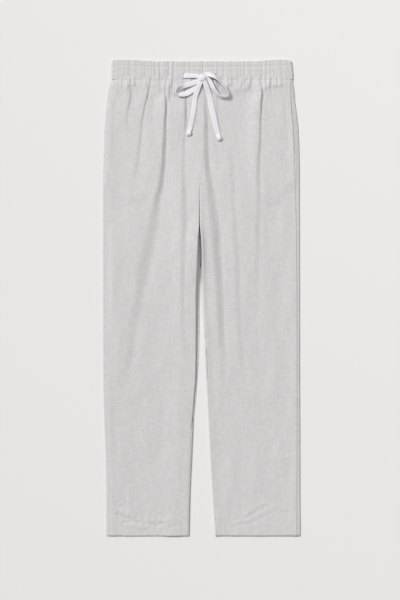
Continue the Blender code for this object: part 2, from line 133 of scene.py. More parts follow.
# Folds of the front. Each is a ridge that falls steeply to the right onto its line, which
# runs through (drop, x); height is the ridge's, flank the width of its steep side.
FOLD_COLUMNS = "drop x height flank"
FOLDS = [table(FOLD_COLUMNS, rows) for rows in [
    [
        (44, -151, 1.4, 3), (54, -150, 2, 3.2), (73, -149.2, 2.5, 4), (90, -151.4, 2.1, 4),
        (109, -155.2, 1.6, 5), (133, -156.6, 1, 8), (155, -160, 0, 8),
    ],
    [
        (44, -109.5, 1.6, 3), (54, -110.5, 2.6, 3.2), (73, -112.8, 3.2, 4), (90, -116.8, 2.6, 4.5),
        (109, -120.8, 2.5, 5.5), (133, -124.4, 2.4, 7), (160, -126, 2, 8), (193, -129.6, 1.5, 9),
        (227, -133.4, 1.3, 10), (261, -140, 0.6, 11), (300, -146, 0, 11),
    ],
    [
        (60, -77.5, 1.4, 3), (73, -76.5, 2.8, 3.2), (90, -74.2, 5.4, 4.2), (109, -73.8, 5.9, 5.2),
        (133, -74.4, 5.4, 7), (160, -73.6, 5.6, 10), (193, -74.6, 5.6, 11.5), (227, -76, 5.7, 12.5),
        (261, -78.5, 5.5, 15), (310, -87, 4.9, 21), (353, -90, 4.6, 27), (396, -96.5, 4.4, 31),
        (443, -108, 3.9, 31), (503, -120, 3.2, 28), (567, -134, 2.4, 24), (642, -147, 1.5, 20),
        (700, -158, 0, 18),
    ],
    [
        (44, -67.5, 1.4, 2.6), (56, -67, 2.4, 3), (73, -67, 3, 3.2), (88, -66, 1, 4),
        (98, -65, 0, 4),
    ],
    [(44, -158.5, 0.8, 2.5), (56, -156, 1.6, 3), (70, -153.5, 0, 3)],
    [(44, -93, 0.9, 3), (58, -88, 1.6, 3), (74, -82, 0.9, 4), (86, -80, 0, 4)],
    [(40, -64, 1.2, 2.5), (58, -63, 1.4, 3), (74, -61, 0, 3)],
    [
        (76, -34, 1.2, 5), (90, -31, 3.4, 6), (109, -30.2, 4.2, 7), (133, -30.4, 3.4, 7),
        (160, -33, 1.8, 7), (193, -34.5, 1.6, 8), (227, -34, 2, 10), (261, -32.5, 2.8, 13),
        (310, -29.5, 3.9, 16), (353, -29.5, 4.2, 16), (396, -31, 4, 16), (443, -33, 3.4, 15),
        (503, -35, 2.3, 13), (567, -33, 1.4, 12), (684, -33, 0, 12),
    ],
    [
        (56, 9, 0.8, 5), (90, 12.5, 2.4, 8), (109, 13.2, 2.9, 9), (133, 14, 3.4, 8),
        (160, 14.6, 3.7, 10), (193, 16, 4.2, 12), (227, 19, 4.5, 14), (261, 25, 5.3, 18),
        (310, 34, 6.4, 23), (353, 40, 6.8, 24), (396, 43, 6.6, 24), (443, 46, 6.3, 23),
        (503, 48, 5.6, 20), (567, 50, 4.4, 18), (642, 54.5, 2.4, 18), (728, 53, 0.9, 18),
        (800, 53, 0, 18),
    ],
    [(84, 36, 0.8, 5), (118, 36, 1, 6), (150, 36, 0, 8)],
    [
        (170, 62, 0.1, 8), (227, 70, 1.3, 10), (261, 71.5, 1.7, 13), (310, 73.5, 1.8, 13),
        (353, 78, 1.9, 14), (443, 82.5, 1.9, 14), (503, 84.5, 1.8, 14), (567, 87, 1.6, 14),
        (642, 93, 1.2, 14), (728, 98, 0.6, 14), (800, 99, 0, 14),
    ],
    [(42, 91, 1.2, 3), (54, 87, 1.5, 3), (70, 83, 0, 4)],
    [(44, 98, 1, 3), (56, 101, 1.4, 3), (70, 104, 0, 4)],
    [(48, 60, 1, 3), (60, 61, 0.8, 3), (84, 62, 0, 4)],
    [
        (44, 127.5, 1.6, 3), (55, 129, 3, 3.2), (73, 131.5, 4.2, 3.8), (90, 130, 4.6, 4.4),
        (109, 129.8, 4.2, 5), (133, 128.4, 3.2, 5.8), (160, 128.6, 3, 6.6), (193, 128, 2.9, 9),
        (227, 126.6, 2.8, 10), (261, 127, 2.6, 12), (310, 128, 2.3, 12), (353, 126.5, 2, 12),
        (396, 125.5, 1.4, 12), (443, 124, 1, 12), (560, 122, 0, 12),
    ],
    [(48, 147, 1, 3), (60, 148, 0.7, 3), (80, 149, 0, 4)],
    [(60, 178, 0.4, 4), (110, 181, 0.6, 5), (150, 182, 0, 6)],
]]
FOLD_BACK, FOLD_BACK_MORE = 2.2, 10.0
FOLD_RUN_IN = 20.0
# Past a fold's foot the cloth rises again a little.
FOLD_REBOUND = 0.16

# How much the legs stand up beside the fork: broad on the left, steep on the right.
INNER_LIFTS = table("drop left right", [
    (290, 0.2, 0.4), (340, 1.8, 1.8), (370, 5.2, 4.2), (402, 6.4, 4.8), (432, 5.4, 4.3),
    (480, 3, 2.6), (560, 1.6, 1.4), (700, 1, 0.9), (1018, 0.2, 0.4),
])
LEFT_LIFT_START, LEFT_LIFT_WIDTH, RIGHT_LIFT_WIDTH = 8, 34, 6.0
# How much the sides swell, right and left, and how deep the seams sink.
ROUNDER = (0.7, 0.4)
SIDE_GROOVE, INNER_GROOVE = 0.04, 0.1

# Flat creases: soft ridges (or troughs) along a line through (x, drop) points.
Crease = namedtuple("Crease", "height width line")
FRONT_CREASES = [
    Crease(-0.9, 3, [(-178, 972), (-164, 980), (-150, 983)]),
    Crease(-0.8, 2.8, [(-166, 990), (-148, 986), (-134, 990)]),
    Crease(0.6, 3.6, [(-182, 964), (-164, 970), (-146, 976)]),
    Crease(-0.6, 2.8, [(-140, 962), (-128, 972), (-122, 983)]),
    Crease(0.6, 4, [(-150, 992), (-136, 999), (-118, 1000)]),
    Crease(-0.6, 2.8, [(-118, 992), (-98, 996), (-84, 992)]),
    Crease(0.5, 4, [(-112, 984), (-90, 986), (-66, 982)]),
    Crease(-0.5, 2.8, [(-70, 1000), (-50, 996), (-38, 998)]),
    Crease(-0.6, 3.2, [(-190, 945), (-172, 953), (-160, 962)]),
    Crease(-0.6, 3.6, [(96, 980), (117, 965), (135, 956)]),
    Crease(0.5, 4.6, [(100, 972), (118, 959), (138, 948)]),
    Crease(-0.4, 4, [(69, 999), (105, 991), (153, 967)]),
    Crease(0.3, 5, [(66, 992), (104, 984), (158, 956)]),
    Crease(-0.5, 1.6, [(172, 968.5), (202, 969.5)]),
    Crease(-0.5, 7, [(150, 836), (160, 815), (168, 790)]),
    Crease(0.5, 14, [(-150, 720), (-120, 700), (-95, 664)]),
    Crease(0.5, 16, [(60, 690), (100, 716), (150, 720)]),
    Crease(-0.5, 12, [(-100, 860), (-80, 830), (-50, 815)]),
    Crease(0.5, 15, [(64, 862), (96, 880), (120, 912)]),
    Crease(-0.5, 9, [(10, 300), (34, 340), (52, 392)]),
    Crease(0.6, 10, [(-20, 300), (-44, 352), (-60, 420)]),
]

# Pocket bags seen through the cloth: inset from the garment's outer edge, and drop.
BAG_OUTLINE = [
    (11.5, 58), (58, 58), (80, 100), (88, 170), (88, 240),
    (76, 284), (56, 290), (11.5, 246),
]
BAG_RISE = 1.6
BAG_EASE = (4.0, 26.0)
BAG_INNER_X = 40.0
MOUTH = (64.0, 211.0)
MOUTH_END = 214.5
MOUTH_LIFT = {"left": 0.2, "right": 0.9}
BAG_CLOTH, BAG_CLEAR = 0.5, 0.15

# The drawstring: x and drop of the tape's middle line, its lift over what it lies on, how
# far it is turned on its edge in degrees, and its width as a share of the whole.
TAPE_WIDTH = 11.0
TAPE_THICK = 1.3
SLOT_X = {"left": -38.5, "right": 30.0}
SLOT_DROP = 35.0
SLOT_LENGTH, SLOT_WIDTH = 10.0, 1.6
ROUTES = {side: table("x drop lift turn share", rows) for side, rows in {
    "left": [
        (-44.5, 35, -3.2, 0, 0.7), (-39.6, 34.8, -2.4, 0, 0.75), (-34.5, 34.6, 0.3, 0, 0.92),
        (-26, 34.4, 0.3, 6, 0.95), (-17, 34.8, 0.3, 8, 0.9), (-8.9, 35.4, 0.3, 4, 0.8),
        (-2, 36, 0.5, 0, 0.6), (4, 38, 1.2, 0, 0.5), (5.6, 42, 2, 0, 0.5), (1, 44.6, 2.6, 0, 0.6),
        (-5, 46, 2.8, 0, 0.8), (-12, 48.2, 2.5, 0, 0.95), (-20, 51.5, 2.4, 0, 1),
        (-35, 55.8, 2.4, 8, 1), (-47, 61.5, 1.6, 42, 1), (-52.6, 68.6, 0.4, 66, 1),
        (-49.4, 73.6, 0.2, 44, 1), (-38.6, 74.6, 0.2, 18, 1), (-25.6, 69.8, 0.2, 6, 1),
        (-14.8, 60.4, 0.2, 0, 0.95), (-8.6, 52, 0.4, 0, 0.8), (-3.4, 45, 1.2, 0, 0.6),
        (-1, 39, 2.6, 0, 0.5), (-0.4, 35.6, 4, 0, 0.5), (0.6, 38.5, 5.2, 0, 0.6),
        (-1.2, 44, 4.4, 0, 0.8), (-3.4, 50.2, 3, 0, 0.95), (-8.6, 64, 2.5, 0, 1),
        (-12.2, 75, 1.8, 0, 1), (-14.4, 86, 0.4, 0, 1), (-16.6, 107, 0.2, 0, 1),
        (-20.4, 128, 0.2, 4, 0.95), (-24, 145, 0.5, 0, 0.9), (-26.2, 152, 0.9, 0, 0.85),
        (-28.2, 159.5, 0.6, 0, 0.8), (-29.2, 163.2, 0.4, 0, 0.8),
    ],
    "right": [
        (36, 36, -3.2, 0, 0.7), (31, 36, -2.4, 0, 0.75), (26, 36, 0.3, 0, 0.92),
        (19, 35.8, 0.3, 0, 0.95), (11.4, 35.8, 0.3, 0, 0.8), (5, 36.6, 0.5, 0, 0.6),
        (1, 39.4, 0.9, 0, 0.5), (2, 43, 1.6, 0, 0.5), (6.6, 42, 2.4, 0, 0.5), (8, 37.6, 2.8, 0, 0.6),
        (9.2, 33.8, 2.6, 4, 0.8), (14, 32, 2.4, 14, 0.95), (22.5, 34.4, 2.3, 34, 1),
        (32.5, 41, 2.1, 62, 1), (44, 51.5, 0.6, 66, 1), (54.5, 63, 0.2, 68, 1),
        (59.4, 74.6, 0.2, 68, 1), (55.6, 81.4, 0.2, 66, 1), (46, 81.4, 0.2, 58, 1),
        (34.4, 74.8, 0.2, 52, 1), (25.2, 62, 0.2, 44, 1), (19.4, 50.5, 0.4, 34, 1),
        (15, 43, 1.4, 20, 0.8), (10, 37.6, 3, 0, 0.6), (6, 35.8, 4.2, 0, 0.5),
        (4.6, 38.6, 4.8, 0, 0.6), (5.6, 44.6, 4.2, 0, 0.8), (8, 51.4, 3, 0, 0.95),
        (12.4, 64.4, 1.6, 0, 1.06), (18.3, 85.6, 0.2, 0, 1.12), (22.5, 107, 0.2, 0, 1.15),
        (27.4, 128.4, 0.2, 0, 1.15), (32.2, 149, 0.2, 4, 1.1), (35.2, 158.5, 0.5, 0, 0.95),
        (37, 165, 0.9, 0, 0.85), (38.4, 170, 0.6, 0, 0.8), (39.2, 173, 0.4, 0, 0.8),
    ],
}.items()}
BOW_KNOT = (1.4, 39.2)
END_KNOTS = {"left": (-27.2, 157.2, -14.0), "right": (37.2, 168.0, 16.0)}


# Smooth curves through the tables.
def through(stations, values, at):
    """A smooth curve through the values that never overshoots them."""
    x, y = np.asarray(stations, float), np.asarray(values, float)
    step = np.diff(x)
    slope = np.diff(y) / step
    tangent = np.zeros(len(x))
    same_way = slope[:-1] * slope[1:] > 0
    blend = 2 * slope[:-1] * slope[1:] / np.where(same_way, slope[:-1] + slope[1:], 1)
    tangent[1:-1] = np.where(same_way, blend, 0)
    tangent[0], tangent[-1] = slope[0], slope[-1]
    at = np.clip(at, x[0], x[-1])
    i = np.clip(np.searchsorted(x, at) - 1, 0, len(step) - 1)
    t = (at - x[i]) / step[i]
    return (
        y[i] * (1 + 2 * t) * (1 - t) ** 2
        + y[i + 1] * t * t * (3 - 2 * t)
        + step[i] * (tangent[i] * t * (1 - t) ** 2 - tangent[i + 1] * t * t * (1 - t))
    )


def column(table, name, at):
    """One named column of a table at any drop."""
    return through([row.drop for row in table], [getattr(row, name) for row in table], at)


def smoothstep(low, high, value):
    t = np.clip((value - low) / (high - low), 0, 1)
    return t * t * (3 - 2 * t)


def bell(value, width):
    return np.exp(-((value / width) ** 2))


def rumple(x, drop, size, seed, stretch=1.0):
    """A smooth irregular surface of about unit height, stretched down the garment."""
    rng = np.random.default_rng(seed)
    total = 0
    waves = 11
    for angle, share, phase in rng.random((waves, 3)) * (2 * math.pi, 1, 2 * math.pi):
        length = size * (0.65 + 0.9 * share)
        reach = x * math.cos(angle) + drop / stretch * math.sin(angle)
        total = total + np.sin(2 * math.pi * reach / length + phase)
    return total / math.sqrt(waves)


# The laid garment's outline.
def outer(side, drop):
    return column(LEGS, "outer_" + side, drop)


def inner(side, drop):
    return column(LEGS, "inner_" + side, drop)


def side_seam(side, drop):
    return outer(side, drop) - column(SEAMS, "wrap_" + side, drop)


def from_seams(x, drop):
    """Distance in from the nearer side seam."""
    return np.minimum(side_seam("left", drop) + x, side_seam("right", drop) - x)


def front_inner(side, drop):
    """The front's inner edge: the centre seam, then the inseam."""
    return inner(side, drop) + INSEAM_WRAP * smoothstep(*DRAW_BACK[side], drop)


def back_inner(side, drop):
    """The back's innermost edge: its centre seam down to its fork, then past the front's."""
    lean = BACK_SEAM_LEAN * smoothstep(FRONT_FORK, BACK_FORK, drop)
    below = inner(side, drop) - column(SEAMS, "past_" + side, drop)
    return np.where(drop <= BACK_FORK, -SIDES[side] * lean, below)


# Gathers: the elastic draws the cloth into puffs between sharp creases.
def gather_creases():
    """Where the creases of the waist lie, at uneven spacings, with the deep ones listed."""
    rng = np.random.default_rng(11)
    spots, x = [], -205.0
    while x < 205:
        spots.append(x)
        x += rng.uniform(5.5, 14)
    deep = {
        -177: -0.1, -155.5: -0.2, -150.5: -0.4, -121: 0.0, -99.5: -0.2, -88.8: -0.6, -70.6: -0.9,
        -60: -0.5, -33: 0.0, 3: -0.3, 48: -0.2, 83.5: 0.0, 92: -0.4, 106: 0.1, 129.5: -0.3,
        139: 0.0, 148.7: 0.1, 172: 0.1,
    }
    spots = [(s, rng.uniform(0.35, 0.8)) for s in spots if min(abs(s - d) for d in deep) > 3.2]
    return np.array(sorted(spots + list(deep.items()))).T


def small_tucks():
    """Short slanting tucks just below the waistband, between the main folds."""
    rng = np.random.default_rng(17)
    tucks = []
    for x in np.arange(-178, 184, 13.0):
        x, slant, height = x + rng.uniform(-5, 5), rng.uniform(-6, 6), rng.uniform(0.6, 2.2)
        end = BAND_DEPTH + rng.uniform(14, 38)
        tucks.append(table(FOLD_COLUMNS, [
            (BAND_DEPTH - 2, x, height * 0.8, 2.4),
            (BAND_DEPTH + 10, x + slant * 0.5, height, 2.8),
            (end, x + slant, 0, 5),
        ]))
    return tucks


FOLDS += small_tucks()
CREASES, VALLEYS = gather_creases()
PUFFS = np.random.default_rng(5).uniform(0.6, 1.0, len(CREASES) - 1)
PUFF_LENGTHS = np.random.default_rng(8).uniform(18, 60, len(CREASES) - 1)


def puffs(x, drop, wander):
    """(height 0 to 1, length of the puff) of the gathers at a place across the waist."""
    x = x + wander * rumple(x, drop, size=34, seed=21, stretch=1.6)
    i = np.clip(np.searchsorted(CREASES, x) - 1, 0, len(PUFFS) - 1)
    t = np.clip((x - CREASES[i]) / (CREASES[i + 1] - CREASES[i]), 0, 1)
    width = CREASES[i + 1] - CREASES[i]
    valley = VALLEYS[i] * (1 - t) + VALLEYS[i + 1] * t
    crown = PUFFS[i] * np.clip(width / 8, 0.5, 1) * np.sin(math.pi * t**1.6) ** 0.7
    return valley * (1 - crown) + crown, PUFF_LENGTHS[i]


def waist_gathers(x, drop):
    """Puffs of the leg panels below the waistband, dying out down the cloth."""
    below = np.maximum(drop - BAND_DEPTH, 0)
    spread = 1 + 0.075 * smoothstep(0, 130, below)
    height, length = puffs(x / spread, drop * 0.4, 1.5)
    height = np.clip((height - 0.25) / 0.75, 0, 1)
    rise = 0.85 + 0.15 * smoothstep(0, 14, below)
    return 0.85 * height * rise * np.exp(-((below / length) ** 1.3))


# Heights of the front.
def from_line(line, x, drop):
    """Distance to the nearest point of a line through (x, drop) points."""
    nearest = np.full(np.broadcast(x, drop).shape, np.inf)
    for (ax, ay), (bx, by) in zip(line, line[1:]):
        dx, dy = bx - ax, by - ay
        t = np.clip(((x - ax) * dx + (drop - ay) * dy) / (dx * dx + dy * dy), 0, 1)
        nearest = np.minimum(nearest, np.hypot(x - ax - t * dx, drop - ay - t * dy))
    return nearest


def outside_bag(inset, drop):
    """Distance outside the pocket bag's outline, negative inside it."""
    outline = BAG_OUTLINE + BAG_OUTLINE[:1]
    nearest = from_line(outline, inset, drop)
    inside = np.zeros(nearest.shape, bool)
    for (ax, ay), (bx, by) in zip(outline, outline[1:]):
        if ay != by:
            crosses = (ay > drop) != (by > drop)
            inside ^= crosses & (inset < ax + (drop - ay) * (bx - ax) / (by - ay))
    return np.where(inside, -nearest, nearest)


def bag_rise(side, x, drop):
    """The front is lifted over the pocket bag, out to the side edge."""
    half = SIDES[side] * x
    inset = np.maximum(outer(side, drop) - half, BAG_OUTLINE[0][0] + 1)
    rise = BAG_RISE * (1 - smoothstep(*BAG_EASE, outside_bag(inset, drop)))
    return np.where(half > BAG_INNER_X, rise, 0)


def fold_height(rows, x, drop):
    """A ridge with a long back on the left of its line and a steep face down to it."""
    line, height, flank = (column(rows, name, drop) for name in ("x", "height", "flank"))
    start, end = rows[0].drop, rows[-1].drop
    height = height * smoothstep(start - FOLD_RUN_IN, start, drop) * (drop < end)
    s = x - line + flank
    back = bell(s, FOLD_BACK * flank + FOLD_BACK_MORE * smoothstep(2.4, 5, flank))
    face = 0.5 * (1 + np.cos(math.pi * np.clip(s / flank, 0, 1)))
    past = np.maximum(s - flank, 0) / (0.8 * flank + 3)
    rebound = FOLD_REBOUND * past * np.exp(1 - past)
    return height * (np.where(s < 0, back, face) + rebound)


def crease_height(creases, x, drop):
    """The sum of the soft ridges and troughs along their lines."""
    return sum(c.height * bell(from_line(c.line, x, drop), c.width) for c in creases)


def mouth_lift(side, x, drop):
    """The front's edge stands up a little along the pocket mouth."""
    from_seam = side_seam(side, drop) - SIDES[side] * x
    top, end = MOUTH
    open_part = smoothstep(top, top + 30, drop) * (1 - smoothstep(end - 25, end, drop))
    return MOUTH_LIFT[side] * open_part * bell(from_seam, 7.0)


def seam_groove(distance, depth, width=1.6):
    """A seam sinks in, and its turned allowance raises the cloth beside it."""
    ridge = 1.4 * depth * smoothstep(0, 2.5, distance) * (1 - smoothstep(9, 11, distance))
    return ridge - depth * bell(distance, width)


def hem_step(drop):
    """The turned-up hem is thicker, with its stitches pulled in at the top."""
    above = HEM - HEM_DEPTH - drop
    return 0.15 * (1 - smoothstep(-4, 3, above)) - 0.12 * bell(above, 1.5)


def inner_lift(side, from_inner, drop):
    """The leg is rounder along its inside, most of all by the fork, and rolls over its edge."""
    rise = column(INNER_LIFTS, side, drop)
    over = 0.93 + 0.07 * smoothstep(-0.3, 1.2, from_inner)
    if side == "right":
        return rise * bell(np.maximum(from_inner, 0), RIGHT_LIFT_WIDTH) * over
    rounding = 1.5 * smoothstep(400, 480, drop) * bell(from_inner - 30, 22)
    broad = bell(np.maximum(from_inner - LEFT_LIFT_START, 0), LEFT_LIFT_WIDTH)
    return (rise * broad + rounding) * over


def front_height(x, drop):
    """Middle of the front's cloth over the surface."""
    x, drop = np.broadcast_arrays(np.asarray(x, float), np.asarray(drop, float))
    folds = sum(fold_height(rows, x, drop) for rows in FOLDS)
    rise = bag_rise("left", x, drop) + bag_rise("right", x, drop)
    from_side = from_seams(x, drop)
    near_waist = 1 - smoothstep(BAND_DEPTH, 90, drop)
    loose = folds + waist_gathers(x, drop) + crease_height(FRONT_CREASES, x, drop)
    swells = rumple(x, drop, size=58, seed=3, stretch=2.6)
    loose = loose + 0.34 * swells * (1 - 0.6 * near_waist)
    loose = loose + 0.10 * rumple(x, drop, size=19, seed=4, stretch=1.7)
    crumpled = smoothstep(925, 970, drop) * (0.3 + 0.7 * smoothstep(-30, -90, x))
    loose = loose + 0.26 * crumpled * rumple(x, drop, size=10, seed=9, stretch=0.45)
    height = FRONT_Z + 0.5 * near_waist + rise + loose * smoothstep(0, 14, from_side)
    for side in SIDES:
        height = height + mouth_lift(side, x, drop) * (SIDES[side] * x > 0)
        from_inner = SIDES[side] * x - front_inner(side, drop)
        mine = from_inner > -1
        edge = seam_groove(np.maximum(from_inner, 0), INNER_GROOVE) + inner_lift(side, from_inner, drop)
        height = height + np.where(mine, edge, 0)
    rounder = np.where(x > 0, *ROUNDER) * smoothstep(60, 140, drop)
    height = height + seam_groove(from_side, SIDE_GROOVE) + rounder * bell(from_side, 16)
    return np.maximum(height + hem_step(drop), FRONT_Z - 0.9)


# Heights of the waistband.
def band_gathers(x, drop):
    height, _ = puffs(x, drop, 0.9)
    rows = 1 - 0.5 * bell(drop - BAND_STITCH, 2.0)
    from_side = from_seams(x, drop)
    return 1.15 * height * rows * smoothstep(0, 7, from_side)


def band_height(x, drop):
    """Middle of the waistband front's outer ply."""
    x, drop = np.broadcast_arrays(np.asarray(x, float), np.asarray(drop, float))
    stitched = -0.3 * bell(drop - BAND_STITCH, 1.4)
    centre_seam = bell(x - 3.6 - 0.9 * np.sin(drop / 3.4), 0.9)
    crooked = -0.9 * centre_seam * (1 - smoothstep(20, 30, drop))
    level = BAND_FRONT_OUT + band_gathers(x, drop) + stitched + crooked
    low = front_height(x, BAND_DEPTH + 0.6) + 0.12
    return level + (low - level) * smoothstep(BAND_DEPTH - 8, BAND_DEPTH, drop)


def top_of_cloth(x, drop):
    """Upper surface of what the drawstring lies on."""
    x, drop = np.broadcast_arrays(np.asarray(x, float), np.asarray(drop, float))
    on_band = band_height(x, np.minimum(drop, BAND_DEPTH))
    return np.where(drop < BAND_DEPTH, on_band, front_height(x, drop)) + LINEN / 2


# Making meshes from grids.
def finished(name, mesh, finish, nodes=()):
    """A piece of the garment: its mesh, its finish and the nodes that it stands for."""
    obj = bpy.data.objects.new(name, mesh)
    bpy.context.scene.collection.objects.link(obj)
    mesh.materials.clear()
    mesh.materials.append(finish)
    mesh.shade_smooth()
    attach(obj, "root")
    if nodes:
        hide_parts(*nodes)
    return obj


def as_mesh(name, bm):
    mesh = bpy.data.meshes.new(name)
    bm.to_mesh(mesh)
    bm.free()
    return mesh


def grid_mesh(name, x, drop, height, across, down):
    """A grid of quads through arrays of places, with (across, down) in metres as its UV map."""
    rows, columns = np.shape(x)
    bm = bmesh.new()
    bmesh.ops.create_grid(bm, x_segments=columns - 1, y_segments=rows - 1, size=0.5)
    for edge in bm.edges:
        edge.smooth = not edge.is_boundary
    mesh = as_mesh(name, bm)
    places = np.stack([x, TOP - np.broadcast_to(drop, np.shape(x)), height], axis=-1) * MM
    mesh.vertices.foreach_set("co", places.reshape(-1))
    corners = np.empty(len(mesh.loops), np.int32)
    mesh.loops.foreach_get("vertex_index", corners)
    uv = np.stack([np.broadcast_to(run, np.shape(x)) for run in (across, down)], axis=-1)
    layer = mesh.uv_layers.new(name="Grain")
    layer.data.foreach_set("uv", (uv.reshape(-1, 2)[corners] * MM).reshape(-1))
    mesh.update()
    return mesh


def along(values, axis):
    """Running length of a path of (x, height) points."""
    step = np.sqrt(sum(np.diff(v, axis=axis) ** 2 for v in values))
    start = np.zeros_like(np.take(step, [0], axis=axis))
    return np.concatenate([start, np.cumsum(step, axis=axis)], axis=axis)


def sewn(node, grid, finish, thickness=LINEN, cut=None):
    """The cloth that stands for a node, from a grid of places, with the thickness of its wall."""
    mesh = grid_mesh(node + "_cloth", *grid)
    if cut:
        cut(mesh)
    cloth = finished(mesh.name, mesh, finish, [node])
    wall = cloth.modifiers.new("Wall", "SOLIDIFY")
    wall.thickness = thickness * MM
    wall.offset = 0
    wall.use_quality_normals = True
    return cloth


# Cloth panels.
def panel_drops():
    """Rows of a leg panel: close together at the waist and the hem."""
    return np.concatenate([
        np.arange(BAND_DEPTH - 1.0, 150, 2.0),
        np.arange(150, HEM - HEM_DEPTH - 8, 4.4),
        np.arange(HEM - HEM_DEPTH - 8, HEM - 0.6, 2.0),
    ])


def with_turned_hem(x, drop, height, inward):
    """Adds rows that turn under the bottom edge and run up inside as the hem's inner ply."""
    radius = HEM_PLY / 2
    turn = np.linspace(0, math.pi, 6)[1:]
    last_x, last_height = x[-1], height[-1]
    xs, drops, heights = [x], [drop], [height]
    for angle in turn:
        xs.append(last_x[None])
        drops.append(np.full_like(last_x, HEM - radius + radius * math.sin(angle))[None])
        heights.append((last_height + inward * radius * (1 - math.cos(angle)))[None])
    for back in (4.0, 14.0, 28.0, HEM_DEPTH - 1.5):
        row = int(np.argmin(np.abs(drop[:, 0] - (HEM - back))))
        xs.append(x[row][None])
        drops.append(drop[row][None])
        heights.append((height[row] + inward * HEM_PLY)[None])
    return np.concatenate(xs), np.concatenate(drops), np.concatenate(heights)


FRONT_COLUMNS = 132


def front_panel(side):
    drop = panel_drops()[:, None]
    sign = SIDES[side]
    low = sign * (front_inner(side, drop) + CLOSED_SEAM)
    high = sign * (side_seam(side, drop) - CLOSED_SEAM)
    share = np.linspace(0, 1, FRONT_COLUMNS)[None, :]
    share = share - 0.06 * np.sin(2 * math.pi * share) / math.pi
    x = low + (high - low) * share
    drop = np.broadcast_to(drop, x.shape)
    height = front_height(x, drop) - 0.7 * smoothstep(BAND_DEPTH + 0.9, BAND_DEPTH - 1, drop)
    x, drop, height = with_turned_edges(side, x, drop, height)
    x, drop, height = with_turned_hem(x, hem_bow(x, drop), height, -1)
    grid = x, drop, height, x, -along((drop, height), 0)
    return sewn("front_" + side, grid, LINEN_CLOTH)


def with_turned_edges(side, x, drop, height):
    """Turns the panel's edges down inside, so that no seam gapes; the leg's is a side wall."""
    tucked = height[:, :1] - TURN_IN
    open_leg = smoothstep(FRONT_FORK - 10, FRONT_FORK + 40, drop[:, :1])
    open_leg = open_leg * (1 - smoothstep(*WRAP_UP[side], drop[:, :1]))
    foot = tucked + (BACK_Z + LINEN - tucked) * open_leg
    middle = (height[:, :1] + foot) / 2
    outside = height[:, -1:] - TURN_IN
    x = np.concatenate([x[:, :1], x[:, :1], x, x[:, -1:]], 1)
    height = np.concatenate([foot, middle, height, outside], 1)
    return x, np.concatenate([drop[:, :1], drop[:, :1], drop, drop[:, :1]], 1), height


def hem_bow(x, drop):
    """The bottom edge sags a little between the seams."""
    half = np.abs(x)
    bow = np.sin(math.pi * np.clip((half - 28) / 178, 0, 1))
    ripple = 0.35 * np.sin(x / 13.0) + 0.3 * np.sin(x / 5.3 + 1)
    corner, sag = np.where(x > 0, 3.2, 0.7), np.where(x > 0, 2.8, 1.3)
    return drop + ((sag + ripple) * bow - corner) * smoothstep(HEM - 70, HEM, drop)


BACK_CREASES = {
    "left": [
        Crease(0.8, 5, [(-60, 48), (-66, 130), (-84, 230), (-104, 330)]),
        Crease(0.7, 4, [(-128, 48), (-136, 120), (-150, 220)]),
        Crease(0.6, 4, [(-28, 48), (-30, 110), (-38, 190)]),
        Crease(0.6, 6, [(-40, 400), (-70, 480), (-110, 590)]),
        Crease(0.5, 7, [(-180, 760), (-130, 800), (-80, 812)]),
        Crease(0.5, 5, [(-170, 950), (-120, 968), (-70, 960)]),
    ],
    "right": [
        Crease(0.8, 5, [(52, 48), (58, 140), (70, 250), (92, 360)]),
        Crease(0.7, 4, [(110, 48), (116, 130), (128, 210)]),
        Crease(0.6, 4, [(160, 48), (168, 110), (178, 180)]),
        Crease(0.6, 6, [(30, 410), (62, 500), (84, 620)]),
        Crease(0.5, 7, [(60, 700), (110, 730), (170, 728)]),
        Crease(0.5, 5, [(80, 940), (130, 955), (180, 946)]),
    ],
}
SIDE_STEPS = 9
# At the side seam the back's edge lies a step lower, and thins out to a small roll.
SEAM_STEP, EDGE_ROLL = 0.42, 0.95
INSEAM_STEPS = 7
BACK_COLUMNS = 72


def back_level(side, x, drop):
    """The back lies on the surface, lifted only along its own creases and gathers."""
    creases = crease_height(BACK_CREASES[side], x, drop)
    gathers = 0.7 * waist_gathers(-x * 0.97 + 3, drop)
    from_edge = np.minimum(np.abs(x), outer(side, drop) - np.abs(x))
    seam = 0.3 * bell(np.abs(x), 1.2) * (drop < BACK_FORK)
    hem = 0.28 * bell(HEM - HEM_DEPTH - drop, 1.3)
    lift = (creases + gathers) * smoothstep(2, 22, from_edge)
    return BACK_Z + np.clip(lift, 0, 1.0) + seam + hem


